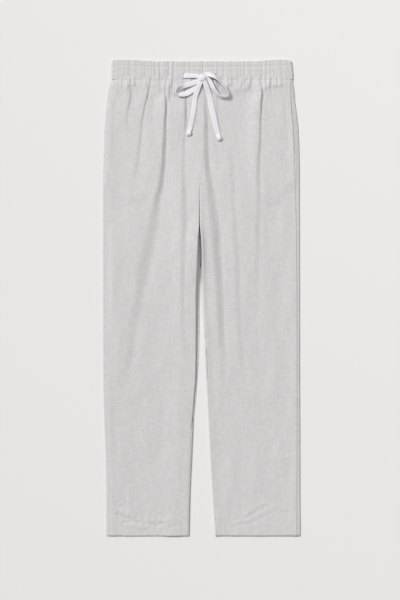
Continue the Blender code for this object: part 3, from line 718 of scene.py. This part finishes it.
def back_section(side, drop):
    """Across the back: half width, height and how far each place is rolled off the surface,
    from its inner end round to the side seam."""
    amount = smoothstep(*WRAP_UP[side], drop)
    end = back_inner(side, drop) + CLOSED_SEAM
    inner_level = front_height(SIDES[side] * front_inner(side, drop), drop) + 0.5
    roll = (inner_level - BACK_Z) / 2
    turn = np.linspace(math.pi, 0, INSEAM_STEPS)[None, :]
    inseam = end + INSEAM_WRAP - 2 * CLOSED_SEAM
    half = np.concatenate([inseam, end + roll - roll * np.sin(turn)], axis=1)
    up = np.concatenate([2 * roll, roll * (1 - np.cos(turn))], axis=1)
    flat = end + np.linspace(0, 1, INSEAM_STEPS + 1)[None, :] * (roll + 1.5)
    half = flat + (half - flat) * amount
    up = up * amount
    level = front_height(SIDES[side] * (side_seam(side, drop) - CLOSED_SEAM), drop)
    pocket = mouth_lift(side, SIDES[side] * side_seam(side, drop), drop)
    level = level - 1.15 * pocket - SEAM_STEP
    radius = np.minimum((level - BACK_Z) / 2, EDGE_ROLL)
    edge_level = BACK_Z + 2 * radius
    edge = outer(side, drop) - radius
    share = np.linspace(0, 1, BACK_COLUMNS + 1)[None, 1:]
    middle = half[:, -1:] + (edge - half[:, -1:]) * share
    turn = np.linspace(0, math.pi, SIDE_STEPS)[None, 1:]
    strip = np.array([0.2, 0.4, 0.6, 0.8, 0.92, 1.0, 1.0])[None, :]
    fall = np.array([0, 0, 0, 0, 0.02, 0.07, 0.07 + TURN_IN])[None, :]
    seam = side_seam(side, drop) + CLOSED_SEAM
    wrap = edge_level + (level - edge_level) * np.minimum(strip * 1.3, 1) - fall
    parts = [
        (half, BACK_Z + up, amount + 0 * half),
        (middle, BACK_Z + 0 * middle, 0 * middle),
        (edge + radius * np.sin(turn), BACK_Z + radius * (1 - np.cos(turn)), 1 + 0 * turn + 0 * radius),
        (edge + (seam - edge) * strip, wrap, 1 + 0 * wrap),
    ]
    return [np.concatenate(values, 1) for values in zip(*parts)]


def back_panel(side):
    drop = panel_drops()[:, None]
    half, height, rolled = back_section(side, drop)
    x = SIDES[side] * half
    drop = np.broadcast_to(drop, x.shape)
    height = height + (back_level(side, x, drop) - BACK_Z) * (1 - np.clip(rolled, 0, 1))
    inward = np.where(height[-1] < FRONT_Z - 0.8, 1.0, -1.0)
    x, drop, height = with_turned_hem(x, hem_bow(x, drop), height, inward)
    grid = x, drop, height, along((x, height), 1), -along((drop, height), 0)
    return sewn("back_" + side, grid, LINEN_CLOTH)


def pocket_bag(side):
    """Two thin layers between front and back, sewn round and open at the side seam."""
    corner, mouth_end, bottom = BAG_OUTLINE[0], BAG_OUTLINE[7], BAG_OUTLINE[6]
    end = bottom[1] - 1.0
    drop = np.linspace(corner[1], end, 64)[:, None]
    near = np.interp(drop, *zip(*[(d, inset) for inset, d in (corner, mouth_end, bottom)]))
    far = np.interp(drop, *zip(*[(d, inset) for inset, d in BAG_OUTLINE[1:7]]))
    inset = near + (far - near) * np.linspace(0, 1, 30)[None, :]
    drop = np.broadcast_to(drop, inset.shape)
    run = np.array(bottom) - mouth_end
    slant = ((inset - mouth_end[0]) * run[1] - (drop - mouth_end[1]) * run[0]) / np.hypot(*run)
    from_ends = np.minimum(drop - corner[1], end - drop)
    from_edge = np.minimum(np.minimum(far - inset, slant), from_ends)
    gap = np.sin(math.pi / 2 * np.clip(from_edge / 7, 0, 1))
    x = SIDES[side] * (outer(side, drop) - inset)
    away = (LINEN + BAG_CLOTH) / 2 + BAG_CLEAR
    high, low = front_height(x, drop) - away, back_level(side, x, drop) + away
    middle, half = (high + low) / 2, np.maximum((high - low) / 2 * gap, BAG_CLOTH * 0.55)
    xs, drops = np.concatenate([x, x[:, ::-1]], 1), np.concatenate([drop, drop], 1)
    height = np.concatenate([middle + half, (middle - half)[:, ::-1]], 1)
    grid = xs, drops, height, along((xs, height), 1), -drops
    return sewn("pocket_bag_" + side, grid, POCKETING, BAG_CLOTH)


# Waistband casing: a flattened tube of cloth, folded at the top.
def top_dip(x, drop):
    """The top edge is lower across the middle and rounded at the corners."""
    middle = 3.4 * smoothstep(-165, -95, x) * (1 - smoothstep(105, 155, x))
    corners = 2.2 * smoothstep(182, 191, x) + 0.8 * smoothstep(186, 191, -x)
    return (middle + corners) * (1 - drop / BAND_DEPTH)


CASING_ROWS = 26
# Cloth drawn into the gathers for each length of the band.
BAND_FULLNESS = 1.5


def casing_rows(out, into):
    """(drop, share) rows from the outer ply's lower edge over the top to the inner ply's."""
    radius = (out - into) / 2
    outside = np.linspace(BAND_DEPTH, abs(radius), CASING_ROWS)
    turn = np.linspace(0, math.pi, 7)[1:-1]
    fold = abs(radius) * (1 - np.sin(turn))
    inside = np.linspace(abs(radius), BAND_DEPTH, 8)
    drops = np.concatenate([outside, fold, inside])
    share = np.concatenate([1 + 0 * outside, 0.5 + 0.5 * np.cos(turn), 0 * inside])
    return drops[:, None], share[:, None]


def waistband_front():
    drop, share = casing_rows(BAND_FRONT_OUT, BAND_FRONT_IN)
    low = -(side_seam("left", drop) - CLOSED_SEAM)
    high = side_seam("right", drop) - CLOSED_SEAM
    x = low + (high - low) * np.linspace(0, 1, 420)[None, :]
    edge_wave = 0.45 * rumple(x, 0 * x, size=40, seed=31) * (1 - drop / BAND_DEPTH) + top_dip(x, drop)
    near_seam = smoothstep(BAND_DEPTH - 6, BAND_DEPTH, drop)
    edge_wave = edge_wave - 0.45 * rumple(x, 0 * x, size=11, seed=33) * near_seam
    outside = band_height(x, drop)
    height = BAND_FRONT_IN + (outside - BAND_FRONT_IN) * share
    drops = np.broadcast_to(drop, x.shape) + edge_wave
    grid = x, drops, height, x * BAND_FULLNESS, along((drops, height), 0)
    return sewn("waistband_front", grid, LINEN_CLOTH, cut=cut_slots)


def cut_slots(mesh):
    """Opens the buttonholes in the outer ply."""
    bm = bmesh.new()
    bm.from_mesh(mesh)
    gone = []
    for face in bm.faces:
        x, y, z = face.calc_center_median() / MM
        on_top = z > (BAND_FRONT_IN + BAND_FRONT_OUT) / 2
        for slot_x in SLOT_X.values():
            inside = abs(x - slot_x) < SLOT_WIDTH / 2 and abs(TOP - y - SLOT_DROP) < SLOT_LENGTH / 2
            if inside and on_top:
                gone.append(face)
    bmesh.ops.delete(bm, geom=gone, context="FACES")
    bm.to_mesh(mesh)
    bm.free()


def waistband_back():
    drop, share = casing_rows(BAND_BACK_OUT, BAND_BACK_IN)
    middle = (BAND_BACK_OUT + BAND_BACK_IN) / 2
    top = (BAND_FRONT_OUT + BAND_FRONT_IN) / 2
    radius = (top - middle) / 2
    left, right = outer("left", drop) - radius, outer("right", drop) - radius
    turn = np.linspace(0, math.pi, 9)[None, :]
    flat = np.linspace(0, 1, 300)[None, 1:-1]
    wide = np.ones_like(drop)
    seams = [side_seam(side, drop) + CLOSED_SEAM for side in SIDES]
    back_turn = turn[:, ::-1]
    parts = [
        (-seams[0], top * wide, math.pi * wide),
        (-left - radius * np.sin(back_turn), middle + radius * (1 - np.cos(back_turn)) * wide,
         back_turn * wide),
        (-left + (left + right) * flat, middle + 0 * flat * wide, 0 * flat * wide),
        (right + radius * np.sin(turn), middle + radius * (1 - np.cos(turn)) * wide, turn * wide),
        (seams[1], top * wide, math.pi * wide),
    ]
    x, z, angle = (np.concatenate(values, 1) for values in zip(*parts))
    sign = np.sign(x)
    from_edge = np.minimum(x + left, right - x)
    gathers = 0.55 * band_gathers(-x, drop) * (angle == 0) * smoothstep(0, 15, from_edge)
    reach = (share - 0.5) * (BAND_BACK_IN - BAND_BACK_OUT)
    x_out = x + sign * np.sin(angle) * reach
    height = z - np.cos(angle) * reach + gathers * share
    drops = drop + top_dip(x, drop)
    across = along((x_out, height), 1) * BAND_FULLNESS
    grid = x_out, drops, height, across, along((drops, height), 0)
    return sewn("waistband_back", grid, LINEN_CLOTH)


# Shader graphs.
class Wire:
    """A socket in a shader graph. Arithmetic on wires adds Math nodes."""

    def __init__(self, graph, socket):
        self.graph, self.socket = graph, socket

    def maths(self, operation, *values):
        return self.graph.add("ShaderNodeMath", {"operation": operation}, *values)

    def __add__(self, other):
        return self.maths("ADD", self, other)

    def __sub__(self, other):
        return self.maths("SUBTRACT", self, other)

    def __rsub__(self, other):
        return self.maths("SUBTRACT", other, self)

    def __mul__(self, other):
        return self.maths("MULTIPLY", self, other)

    def __truediv__(self, other):
        return self.maths("DIVIDE", self, other)

    def __pow__(self, other):
        return self.maths("POWER", self, other)

    __radd__, __rmul__ = __add__, __mul__


class Graph:
    """A material's node tree, built by calls and expressions."""

    def __init__(self, name):
        self.material = bpy.data.materials.new(name)
        self.material.use_nodes = True
        self.tree = self.material.node_tree
        self.tree.nodes.clear()

    def add(self, kind, settings, *values, output=0, places=(), **named):
        """A new node: its settings first, then its inputs in order, by place or by name."""
        node = self.tree.nodes.new(kind)
        for key, value in settings.items():
            if key == "stops":
                ramp = node.color_ramp.elements
                while len(ramp) < len(value):
                    ramp.new(0.5)
                for element, (position, colour) in zip(ramp, value):
                    element.position, element.color = position, colour
            else:
                setattr(node, key, value)
        inputs = [(key.replace("_", " "), value) for key, value in named.items()]
        for key, value in [*enumerate(values), *places, *inputs]:
            if isinstance(value, Wire):
                self.tree.links.new(value.socket, node.inputs[key])
            else:
                node.inputs[key].default_value = value
        return Wire(self, node.outputs[output]) if node.outputs else None

    def mix(self, share, first, second, blend="MIX"):
        settings = {"data_type": "RGBA", "blend_type": blend}
        colours = ((6, first), (7, second))
        return self.add("ShaderNodeMix", settings, share, output=2, places=colours)

    def noise(self, vector, scale, detail=2.0, rough=0.5):
        return self.add(
            "ShaderNodeTexNoise", {}, Vector=vector, Scale=scale, Detail=detail, Roughness=rough
        )

    def grain(self):
        """(across, down) of the cloth's own UV map, in millimetres."""
        uv = self.add("ShaderNodeUVMap", {"uv_map": "Grain"})
        split = self.add("ShaderNodeSeparateXYZ", {}, uv).socket.node
        return Wire(self, split.outputs[0]) / MM, Wire(self, split.outputs[1]) / MM

    def vector(self, x, y, z=0.0):
        return self.add("ShaderNodeCombineXYZ", {}, x, y, z)

    def shaded(self, colour, light):
        """A colour times a brightness."""
        return self.mix(1.0, colour, self.vector(light, light, light), "MULTIPLY")

    def finish(self, height, strength, distance, constants, **inputs):
        """Ends the graph in a Principled shader with a bump."""
        bump = self.add(
            "ShaderNodeBump", {}, Strength=strength, Distance=distance * MM, Height=height
        )
        shader = self.add("ShaderNodeBsdfPrincipled", {}, Normal=bump, **inputs)
        for key, value in constants.items():
            shader.socket.node.inputs[key].default_value = value
        self.add("ShaderNodeOutputMaterial", {}, shader)
        return self.material


YARN = 0.62


def woven_linen(name, warp, weft, uneven):
    """Plain weave of slubby yarns, two tones, with the slubs showing as faint streaks."""
    g = Graph(name)
    u, v = g.grain()
    a, b = u / YARN, v / YARN
    over = (a * math.pi).maths("SINE") * (b * math.pi).maths("SINE")
    warp_up = g.add("ShaderNodeMapRange", {"clamp": True}, over, -0.35, 0.35, 0.0, 1.0)
    warp_tone = g.noise(g.vector(a * 0.9, b * 0.016), 1.0, 2.0)
    weft_tone = g.noise(g.vector(a * 0.022, b * 0.9, 7.0), 1.0, 2.0)
    warp_slub = g.noise(g.vector(u / 3.4, v / 22.0, 3.0), 1.0, 1.0)
    weft_slub = g.noise(g.vector(u / 20.0, v / 3.2, 11.0), 1.0, 1.0)
    cloud = g.noise(g.vector(u / 7.0, v / 7.0, 5.0), 1.0, 2.0, 0.5)
    tone = (warp_tone - 0.5) * warp_up + (weft_tone - 0.5) * (1 - warp_up)
    streaks = (warp_slub - 0.5) * 0.5 + (weft_slub - 0.5) * 0.42 + (cloud - 0.5) * 0.6
    light = 1 + (tone * 0.3 + streaks) * uneven
    colour = g.shaded(g.mix(warp_up, (*weft, 1), (*warp, 1)), light)
    height = over.maths("ABSOLUTE") ** 0.6 + tone * 0.9 + streaks * 0.5
    constants = {
        "Roughness": 0.9, "Sheen Weight": 0.15, "Sheen Roughness": 0.5, "Specular IOR Level": 0.25,
    }
    return g.finish(height, 0.55, 0.16, constants, Base_Color=colour)


def woven_tape(name, colour):
    """Close herringbone tape."""
    g = Graph(name)
    u, v = g.grain()
    slant = (u * 1.0).maths("PINGPONG", 1.25)
    rib = ((v + slant * 0.9) * (math.pi / 0.55)).maths("SINE")
    fibre = g.noise(g.vector(u * 2.2, v * 2.2), 1.0, 3.0, 0.6)
    light = 1 + rib * 0.035 + (fibre - 0.5) * 0.12
    constants = {
        "Roughness": 0.8, "Sheen Weight": 0.2, "Sheen Roughness": 0.4, "Specular IOR Level": 0.3,
    }
    base = g.shaded((*colour, 1), light)
    return g.finish(rib * 0.5 + fibre, 0.5, 0.14, constants, Base_Color=base)


def twisted_thread(name, colour):
    g = Graph(name)
    place = g.add("ShaderNodeTexCoord", {}, output="Object")
    fibre = g.noise(place, 1600.0, 2.0)
    light = 1 + (fibre - 0.5) * 0.2
    constants = {"Roughness": 0.65, "Sheen Weight": 0.1}
    return g.finish(fibre, 0.3, 0.1, constants, Base_Color=g.shaded((*colour, 1), light))


LINEN_CLOTH = woven_linen("heathered linen", (0.606, 0.580, 0.583), (0.710, 0.698, 0.715), 0.29)
POCKETING = woven_linen("pocket cotton", (0.70, 0.69, 0.67), (0.74, 0.73, 0.71), 0.2)
TAPE = woven_tape("white cotton tape", (0.765, 0.75, 0.79))
THREAD = twisted_thread("sewing thread", (0.72, 0.70, 0.69))


# Drawstring.
def smooth_route(route, step):
    """Evenly spaced rows of a route's columns on a smooth curve through its points."""
    points = np.array(route, float)
    padded = np.vstack([2 * points[0] - points[1], points, 2 * points[-1] - points[-2]])
    fine = []
    for i in range(1, len(padded) - 2):
        a, b, c, d = padded[i - 1 : i + 3]
        for t in np.linspace(0, 1, 16, endpoint=False):
            bend, twist = 2 * a - 5 * b + 4 * c - d, 3 * b - a - 3 * c + d
            fine.append(0.5 * (2 * b + (c - a) * t + bend * t**2 + twist * t**3))
    fine = np.array(fine + [points[-1]])
    run = running(fine[:, :2])
    at = np.linspace(0, run[-1], max(4, round(run[-1] / step)))
    return np.stack([np.interp(at, run, fine[:, k]) for k in range(fine.shape[1])], axis=1)


def smoothed(values, passes):
    for _ in range(passes):
        between = (values[:-2] + 2 * values[1:-1] + values[2:]) / 4
        values = np.concatenate([values[:1], between, values[-1:]])
    return values


def unit(vectors):
    """The same directions, each of length 1."""
    return vectors / np.linalg.norm(vectors, axis=1)[:, None]


def running(points):
    """Distance along a line of points, from its start."""
    return np.concatenate([[0], np.cumsum(np.linalg.norm(np.diff(points, axis=0), axis=1))])


def tape_line(route, step=1.2):
    """Centre line, width direction, flat direction and width of a tape lying on the cloth."""
    rows = smooth_route(route, step)
    x, drop, lift, turn, share = rows.T
    lean = np.radians(turn)
    width = TAPE_WIDTH * share
    way = unit(np.gradient(np.stack([x, -drop], axis=1), axis=0))
    across = np.stack([-way[:, 1], way[:, 0]], axis=1)
    reach = np.linspace(-0.5, 0.5, 7)[:, None] * width * np.cos(lean)
    ground = top_of_cloth(x + across[:, 0] * reach, drop - across[:, 1] * reach).max(axis=0)
    ground = smoothed(np.maximum(ground, smoothed(ground, 6)), 6)
    middle = ground + 0.2 + lift + (TAPE_THICK * np.cos(lean) + width * np.sin(lean)) / 2
    centre = np.stack([x, TOP - drop, middle], axis=1)
    flat = unit(np.cross(np.gradient(centre, axis=0), [0, 0, 1]))
    ahead = unit(np.gradient(centre, axis=0))
    up = np.cross(flat, ahead)
    cos, sin = np.cos(lean)[:, None], np.sin(lean)[:, None]
    return centre, flat * cos + up * sin, up * cos - flat * sin, width


def tape_section(width, thick, corners=5):
    """A flat tape's rounded cross-section as (across, through) points, closed."""
    angles = np.linspace(-math.pi / 2, math.pi / 2, corners)
    end = width / 2 - thick / 2
    ring = [(end + thick / 2 * math.cos(a), thick / 2 * math.sin(a)) for a in angles]
    ring += [(end / 3, thick / 2 * 1.04), (-end / 3, thick / 2 * 1.04)]
    ring += [(-p, -q) for p, q in ring[:corners]]
    ring += [(-end / 3, -thick / 2 * 1.04), (end / 3, -thick / 2 * 1.04)]
    return np.array(ring + ring[:1])


def sweep(centre, across, through_it, widths, thick, closed=False):
    """A tube of tape section along a line, as a bmesh with a UV map."""
    rows = []
    for c, a, n, w in zip(centre, across, through_it, widths):
        section = tape_section(w, min(thick, w * 0.9))
        rows.append([c + a * p + n * q for p, q in section])
    rows = np.array(rows)
    run, girth = running(centre), running(tape_section(TAPE_WIDTH, thick))
    x, drop, height = rows[..., 0], TOP - rows[..., 1], rows[..., 2]
    mesh = grid_mesh("sweep", x, drop, height, girth[None, :], run[:, None])
    bm = bmesh.new()
    bm.from_mesh(mesh)
    bpy.data.meshes.remove(mesh)
    bmesh.ops.remove_doubles(bm, verts=bm.verts, dist=0.01 * MM)
    if not closed:
        bmesh.ops.holes_fill(bm, edges=[e for e in bm.edges if e.is_boundary], sides=0)
    bmesh.ops.recalc_face_normals(bm, faces=bm.faces)
    return bm


def joined(name, parts):
    """One mesh from several bmeshes."""
    whole = bmesh.new()
    whole.loops.layers.uv.new("Grain")
    for part in parts:
        piece = as_mesh("part of " + name, part)
        whole.from_mesh(piece)
        bpy.data.meshes.remove(piece)
    return as_mesh(name, whole)


def wound(centre, half_y, half_z, width, roll, slant, thick, steps=40):
    """A closed turn of tape round a bundle: an upright oval, turned by roll about +Z."""
    angle = np.linspace(0, 2 * math.pi, steps + 1)
    oval = np.stack([0 * angle, half_y * np.cos(angle), half_z * np.sin(angle)], axis=1)
    oval[:, 0] += slant * np.sin(angle)
    side = np.tile([1.0, 0, 0], (steps + 1, 1))
    normal = unit(np.stack([0 * angle, np.cos(angle) / half_y, np.sin(angle) / half_z], axis=1))
    spin = np.array(Matrix.Rotation(math.radians(roll), 3, "Z"))
    widths = width * (1 - 0.12 * np.cos(2 * angle))
    return sweep(
        centre + oval @ spin.T, side @ spin.T, normal @ spin.T, widths, thick, closed=True
    )


def core(centre, half, roll):
    """The bundle inside a knot."""
    bm = bmesh.new()
    bmesh.ops.create_icosphere(bm, subdivisions=3, radius=1.0)
    bmesh.ops.scale(bm, vec=Vector(half) * MM, verts=bm.verts)
    spin = Matrix.Rotation(math.radians(roll), 3, "Z")
    bmesh.ops.rotate(bm, cent=(0, 0, 0), matrix=spin, verts=bm.verts)
    bmesh.ops.translate(bm, vec=Vector(centre) * MM, verts=bm.verts)
    return bm


def knot(name, node, place, up, core_half, roll, turns):
    """A knot on the cloth: a bundle with turns of tape round it, each
    (shift, half length, half height, width, roll, slant, thickness)."""
    x, drop = place
    centre = np.array([x, TOP - drop, float(top_of_cloth(x, drop)) + up])
    parts = [core(centre, core_half, roll)]
    for shift, *turn in turns:
        parts.append(wound(centre + [*shift, 0], *turn))
    return finished(name, joined(name, parts), TAPE, [node])


def drawstring():
    bow_turns = [
        ((0, 0), 9.4, 3.7, 8.6, -60, 0.8, 0.9),
        ((-0.4, -0.6), 7.0, 3.9, 8.0, 16, 1.4, 0.9),
    ]
    bow_knot = knot("bow_knot_tape", "bow_knot", BOW_KNOT, 4.2, (9.0, 6.4, 3.4), 26, bow_turns)
    knots = {}
    for side, (x, drop, roll) in END_KNOTS.items():
        turns = [
            ((0, 0), 5.2, 2.7, 7.0, roll + 20, 1.2, 1.2),
            ((0, 0), 5.0, 2.5, 5.0, roll - 34, 0.6, 1.2),
        ]
        name = "end_knot_" + side
        knots[side] = knot(name, "knot_" + side, (x, drop), 2.6, (4.6, 5.4, 2.2), roll, turns)
    for side, route in ROUTES.items():
        centre, across, normal, widths = tape_line(route)
        name = "drawstring_" + side
        nodes = [part + side for part in ("strand_", "loop_", "tail_")]
        swept = joined(name, [sweep(centre, across, normal, widths, TAPE_THICK)])
        tape = finished(name, swept, TAPE, nodes)
        others = [knots[side]] + ([bow_knot] if side == "left" else [])


# Stitches.
STITCH, STITCH_GAP, THREAD_HALF = 2.4, 0.9, 0.2
# The buttonholes' satin stitches: along x, at each side of the slot and across its ends.
SATIN, BAR_TACK, SATIN_STEP = [(-2.2, -0.7), (0.7, 2.2)], [(-2.1, 2.1)], 0.4
MOUTH_STITCH, MOUTH_TACK = 6.0, 26.0


def stitch(bm, start, end, surface, sink=0.05):
    """One stitch between two (x, drop) points, lying on a surface."""
    up = THREAD_HALF - sink
    ends = [Vector((x, TOP - drop, float(surface(x, drop)) + up)) for x, drop in (start, end)]
    middle, way = (ends[0] + ends[1]) / 2, ends[1] - ends[0]
    turn = Vector((1, 0, 0)).rotation_difference(way).to_matrix().to_4x4()
    size = Matrix.Diagonal((way.length / 2, THREAD_HALF, THREAD_HALF, 1))
    place = Matrix.Scale(MM, 4) @ Matrix.Translation(middle) @ turn @ size
    bmesh.ops.create_icosphere(bm, subdivisions=1, radius=1.0, matrix=place)


def stitch_row(bm, line, surface):
    """Adds a row of stitches along (x, drop) points."""
    line = np.array(line, float)
    run = running(line)
    count = int(run[-1] // (STITCH + STITCH_GAP))
    for at in (np.arange(count) + 0.5) * run[-1] / count:
        reach = (at - STITCH / 2, at + STITCH / 2)
        stitch(bm, *[[np.interp(s, run, line[:, k]) for k in (0, 1)] for s in reach], surface)


def front_top(x, drop):
    """Upper surface of the fronts."""
    return front_height(x, drop) + LINEN / 2


def band_top(x, drop):
    """Upper surface of the waistband."""
    return band_height(x, drop) + LINEN / 2


def threads(name, bm):
    finished(name, as_mesh(name, bm), THREAD)


def front_stitches():
    level = HEM - HEM_DEPTH
    rows = []
    for side, sign in SIDES.items():
        low, high = front_inner(side, level) + 1.0, side_seam(side, level) - 1.0
        rows.append([(sign * low, level), (sign * high, level)])
        mouth = np.linspace(MOUTH[0] + 2, MOUTH[1] - 2, 24)
        rows.append([(sign * (side_seam(side, d) - MOUTH_STITCH), d) for d in mouth])
        tack = (MOUTH_TACK, 1.0)
        rows.append([(sign * (side_seam(side, MOUTH_END) - s), MOUTH_END) for s in tack])
    bm = bmesh.new()
    for row in rows:
        stitch_row(bm, row, front_top)
    threads("panel_stitches", bm)


def band_stitches():
    low = -side_seam("left", BAND_STITCH) + 2
    high = side_seam("right", BAND_STITCH) - 2
    bm = bmesh.new()
    stitch_row(bm, [(x, BAND_STITCH) for x in np.linspace(low, high, 160)], band_top)
    half = SLOT_LENGTH / 2
    for x in SLOT_X.values():
        for drop in np.arange(SLOT_DROP - half - 1.2, SLOT_DROP + half + 1.3, SATIN_STEP):
            past_end = abs(drop - SLOT_DROP) > half
            for start, end in BAR_TACK if past_end else SATIN:
                stitch(bm, (x + start, drop), (x + end, drop), band_top)
    threads("waistband_stitches", bm)


# The room: a pale floor, soft light and a camera looking straight down.
FLOOR_COLOUR = (0.80, 0.79, 0.775, 1)
FLOOR_GAP = 0.3
FLOOR_REACH = 12.0
VIEW_HEIGHT = 1.284
CAMERA_UP = 4.0
SENSOR = 36.0
CAMERA_AT = (-0.0032, -0.0046)
# Soft light from the upper left, a weak one from the upper right, and the pale room.
KEY_FROM, KEY_SPREAD, KEY_STRENGTH = (-7.5, 6.0, 9.5), 0.36, 2.66
TOP_FROM, TOP_SIZE, TOP_POWER = (1.6, 2.4, 3.6), 2.0, 40.0
ROOM_LIGHT = 0.275


def room():
    bm = bmesh.new()
    bmesh.ops.create_grid(bm, x_segments=1, y_segments=1, size=FLOOR_REACH)
    bmesh.ops.translate(bm, vec=(0, 0, -FLOOR_GAP * MM), verts=bm.verts)
    mesh = as_mesh("floor", bm)
    floor = bpy.data.objects.new("floor", mesh)
    bpy.context.scene.collection.objects.link(floor)
    paint = bpy.data.materials.new("pale floor")
    paint.use_nodes = True
    shader = paint.node_tree.nodes["Principled BSDF"]
    matt = {"Base Color": FLOOR_COLOUR, "Roughness": 0.9, "Specular IOR Level": 0.1}
    for key, value in matt.items():
        shader.inputs[key].default_value = value
    mesh.materials.append(paint)


def lights_and_camera():
    key = bpy.data.lights.new("key", "SUN")
    key.angle = KEY_SPREAD
    key.energy = KEY_STRENGTH
    top = bpy.data.lights.new("top", "AREA")
    top.size = TOP_SIZE
    top.energy = TOP_POWER
    for light, place in ((key, KEY_FROM), (top, TOP_FROM)):
        lamp = bpy.data.objects.new(light.name, light)
        lamp.location = place
        lamp.rotation_euler = (-Vector(place)).to_track_quat("-Z", "Y").to_euler()
        bpy.context.scene.collection.objects.link(lamp)
    world = bpy.data.worlds.new("studio")
    world.use_nodes = True
    background = world.node_tree.nodes["Background"]
    background.inputs["Color"].default_value = (1.0, 1.0, 1.0, 1)
    background.inputs["Strength"].default_value = ROOM_LIGHT
    bpy.context.scene.world = world
    data = bpy.data.cameras.new("camera")
    data.sensor_fit = "VERTICAL"
    data.sensor_height = SENSOR
    data.lens = data.sensor_height * CAMERA_UP / VIEW_HEIGHT
    camera = bpy.data.objects.new("camera", data)
    camera.location = (*CAMERA_AT, CAMERA_UP)
    bpy.context.scene.collection.objects.link(camera)
    bpy.context.scene.camera = camera
    bpy.context.scene.view_settings.view_transform = "Standard"


room()
lights_and_camera()
drawstring()
for side in SIDES:
    front_panel(side)
    back_panel(side)
    pocket_bag(side)
waistband_front()
waistband_back()
front_stitches()
band_stitches()
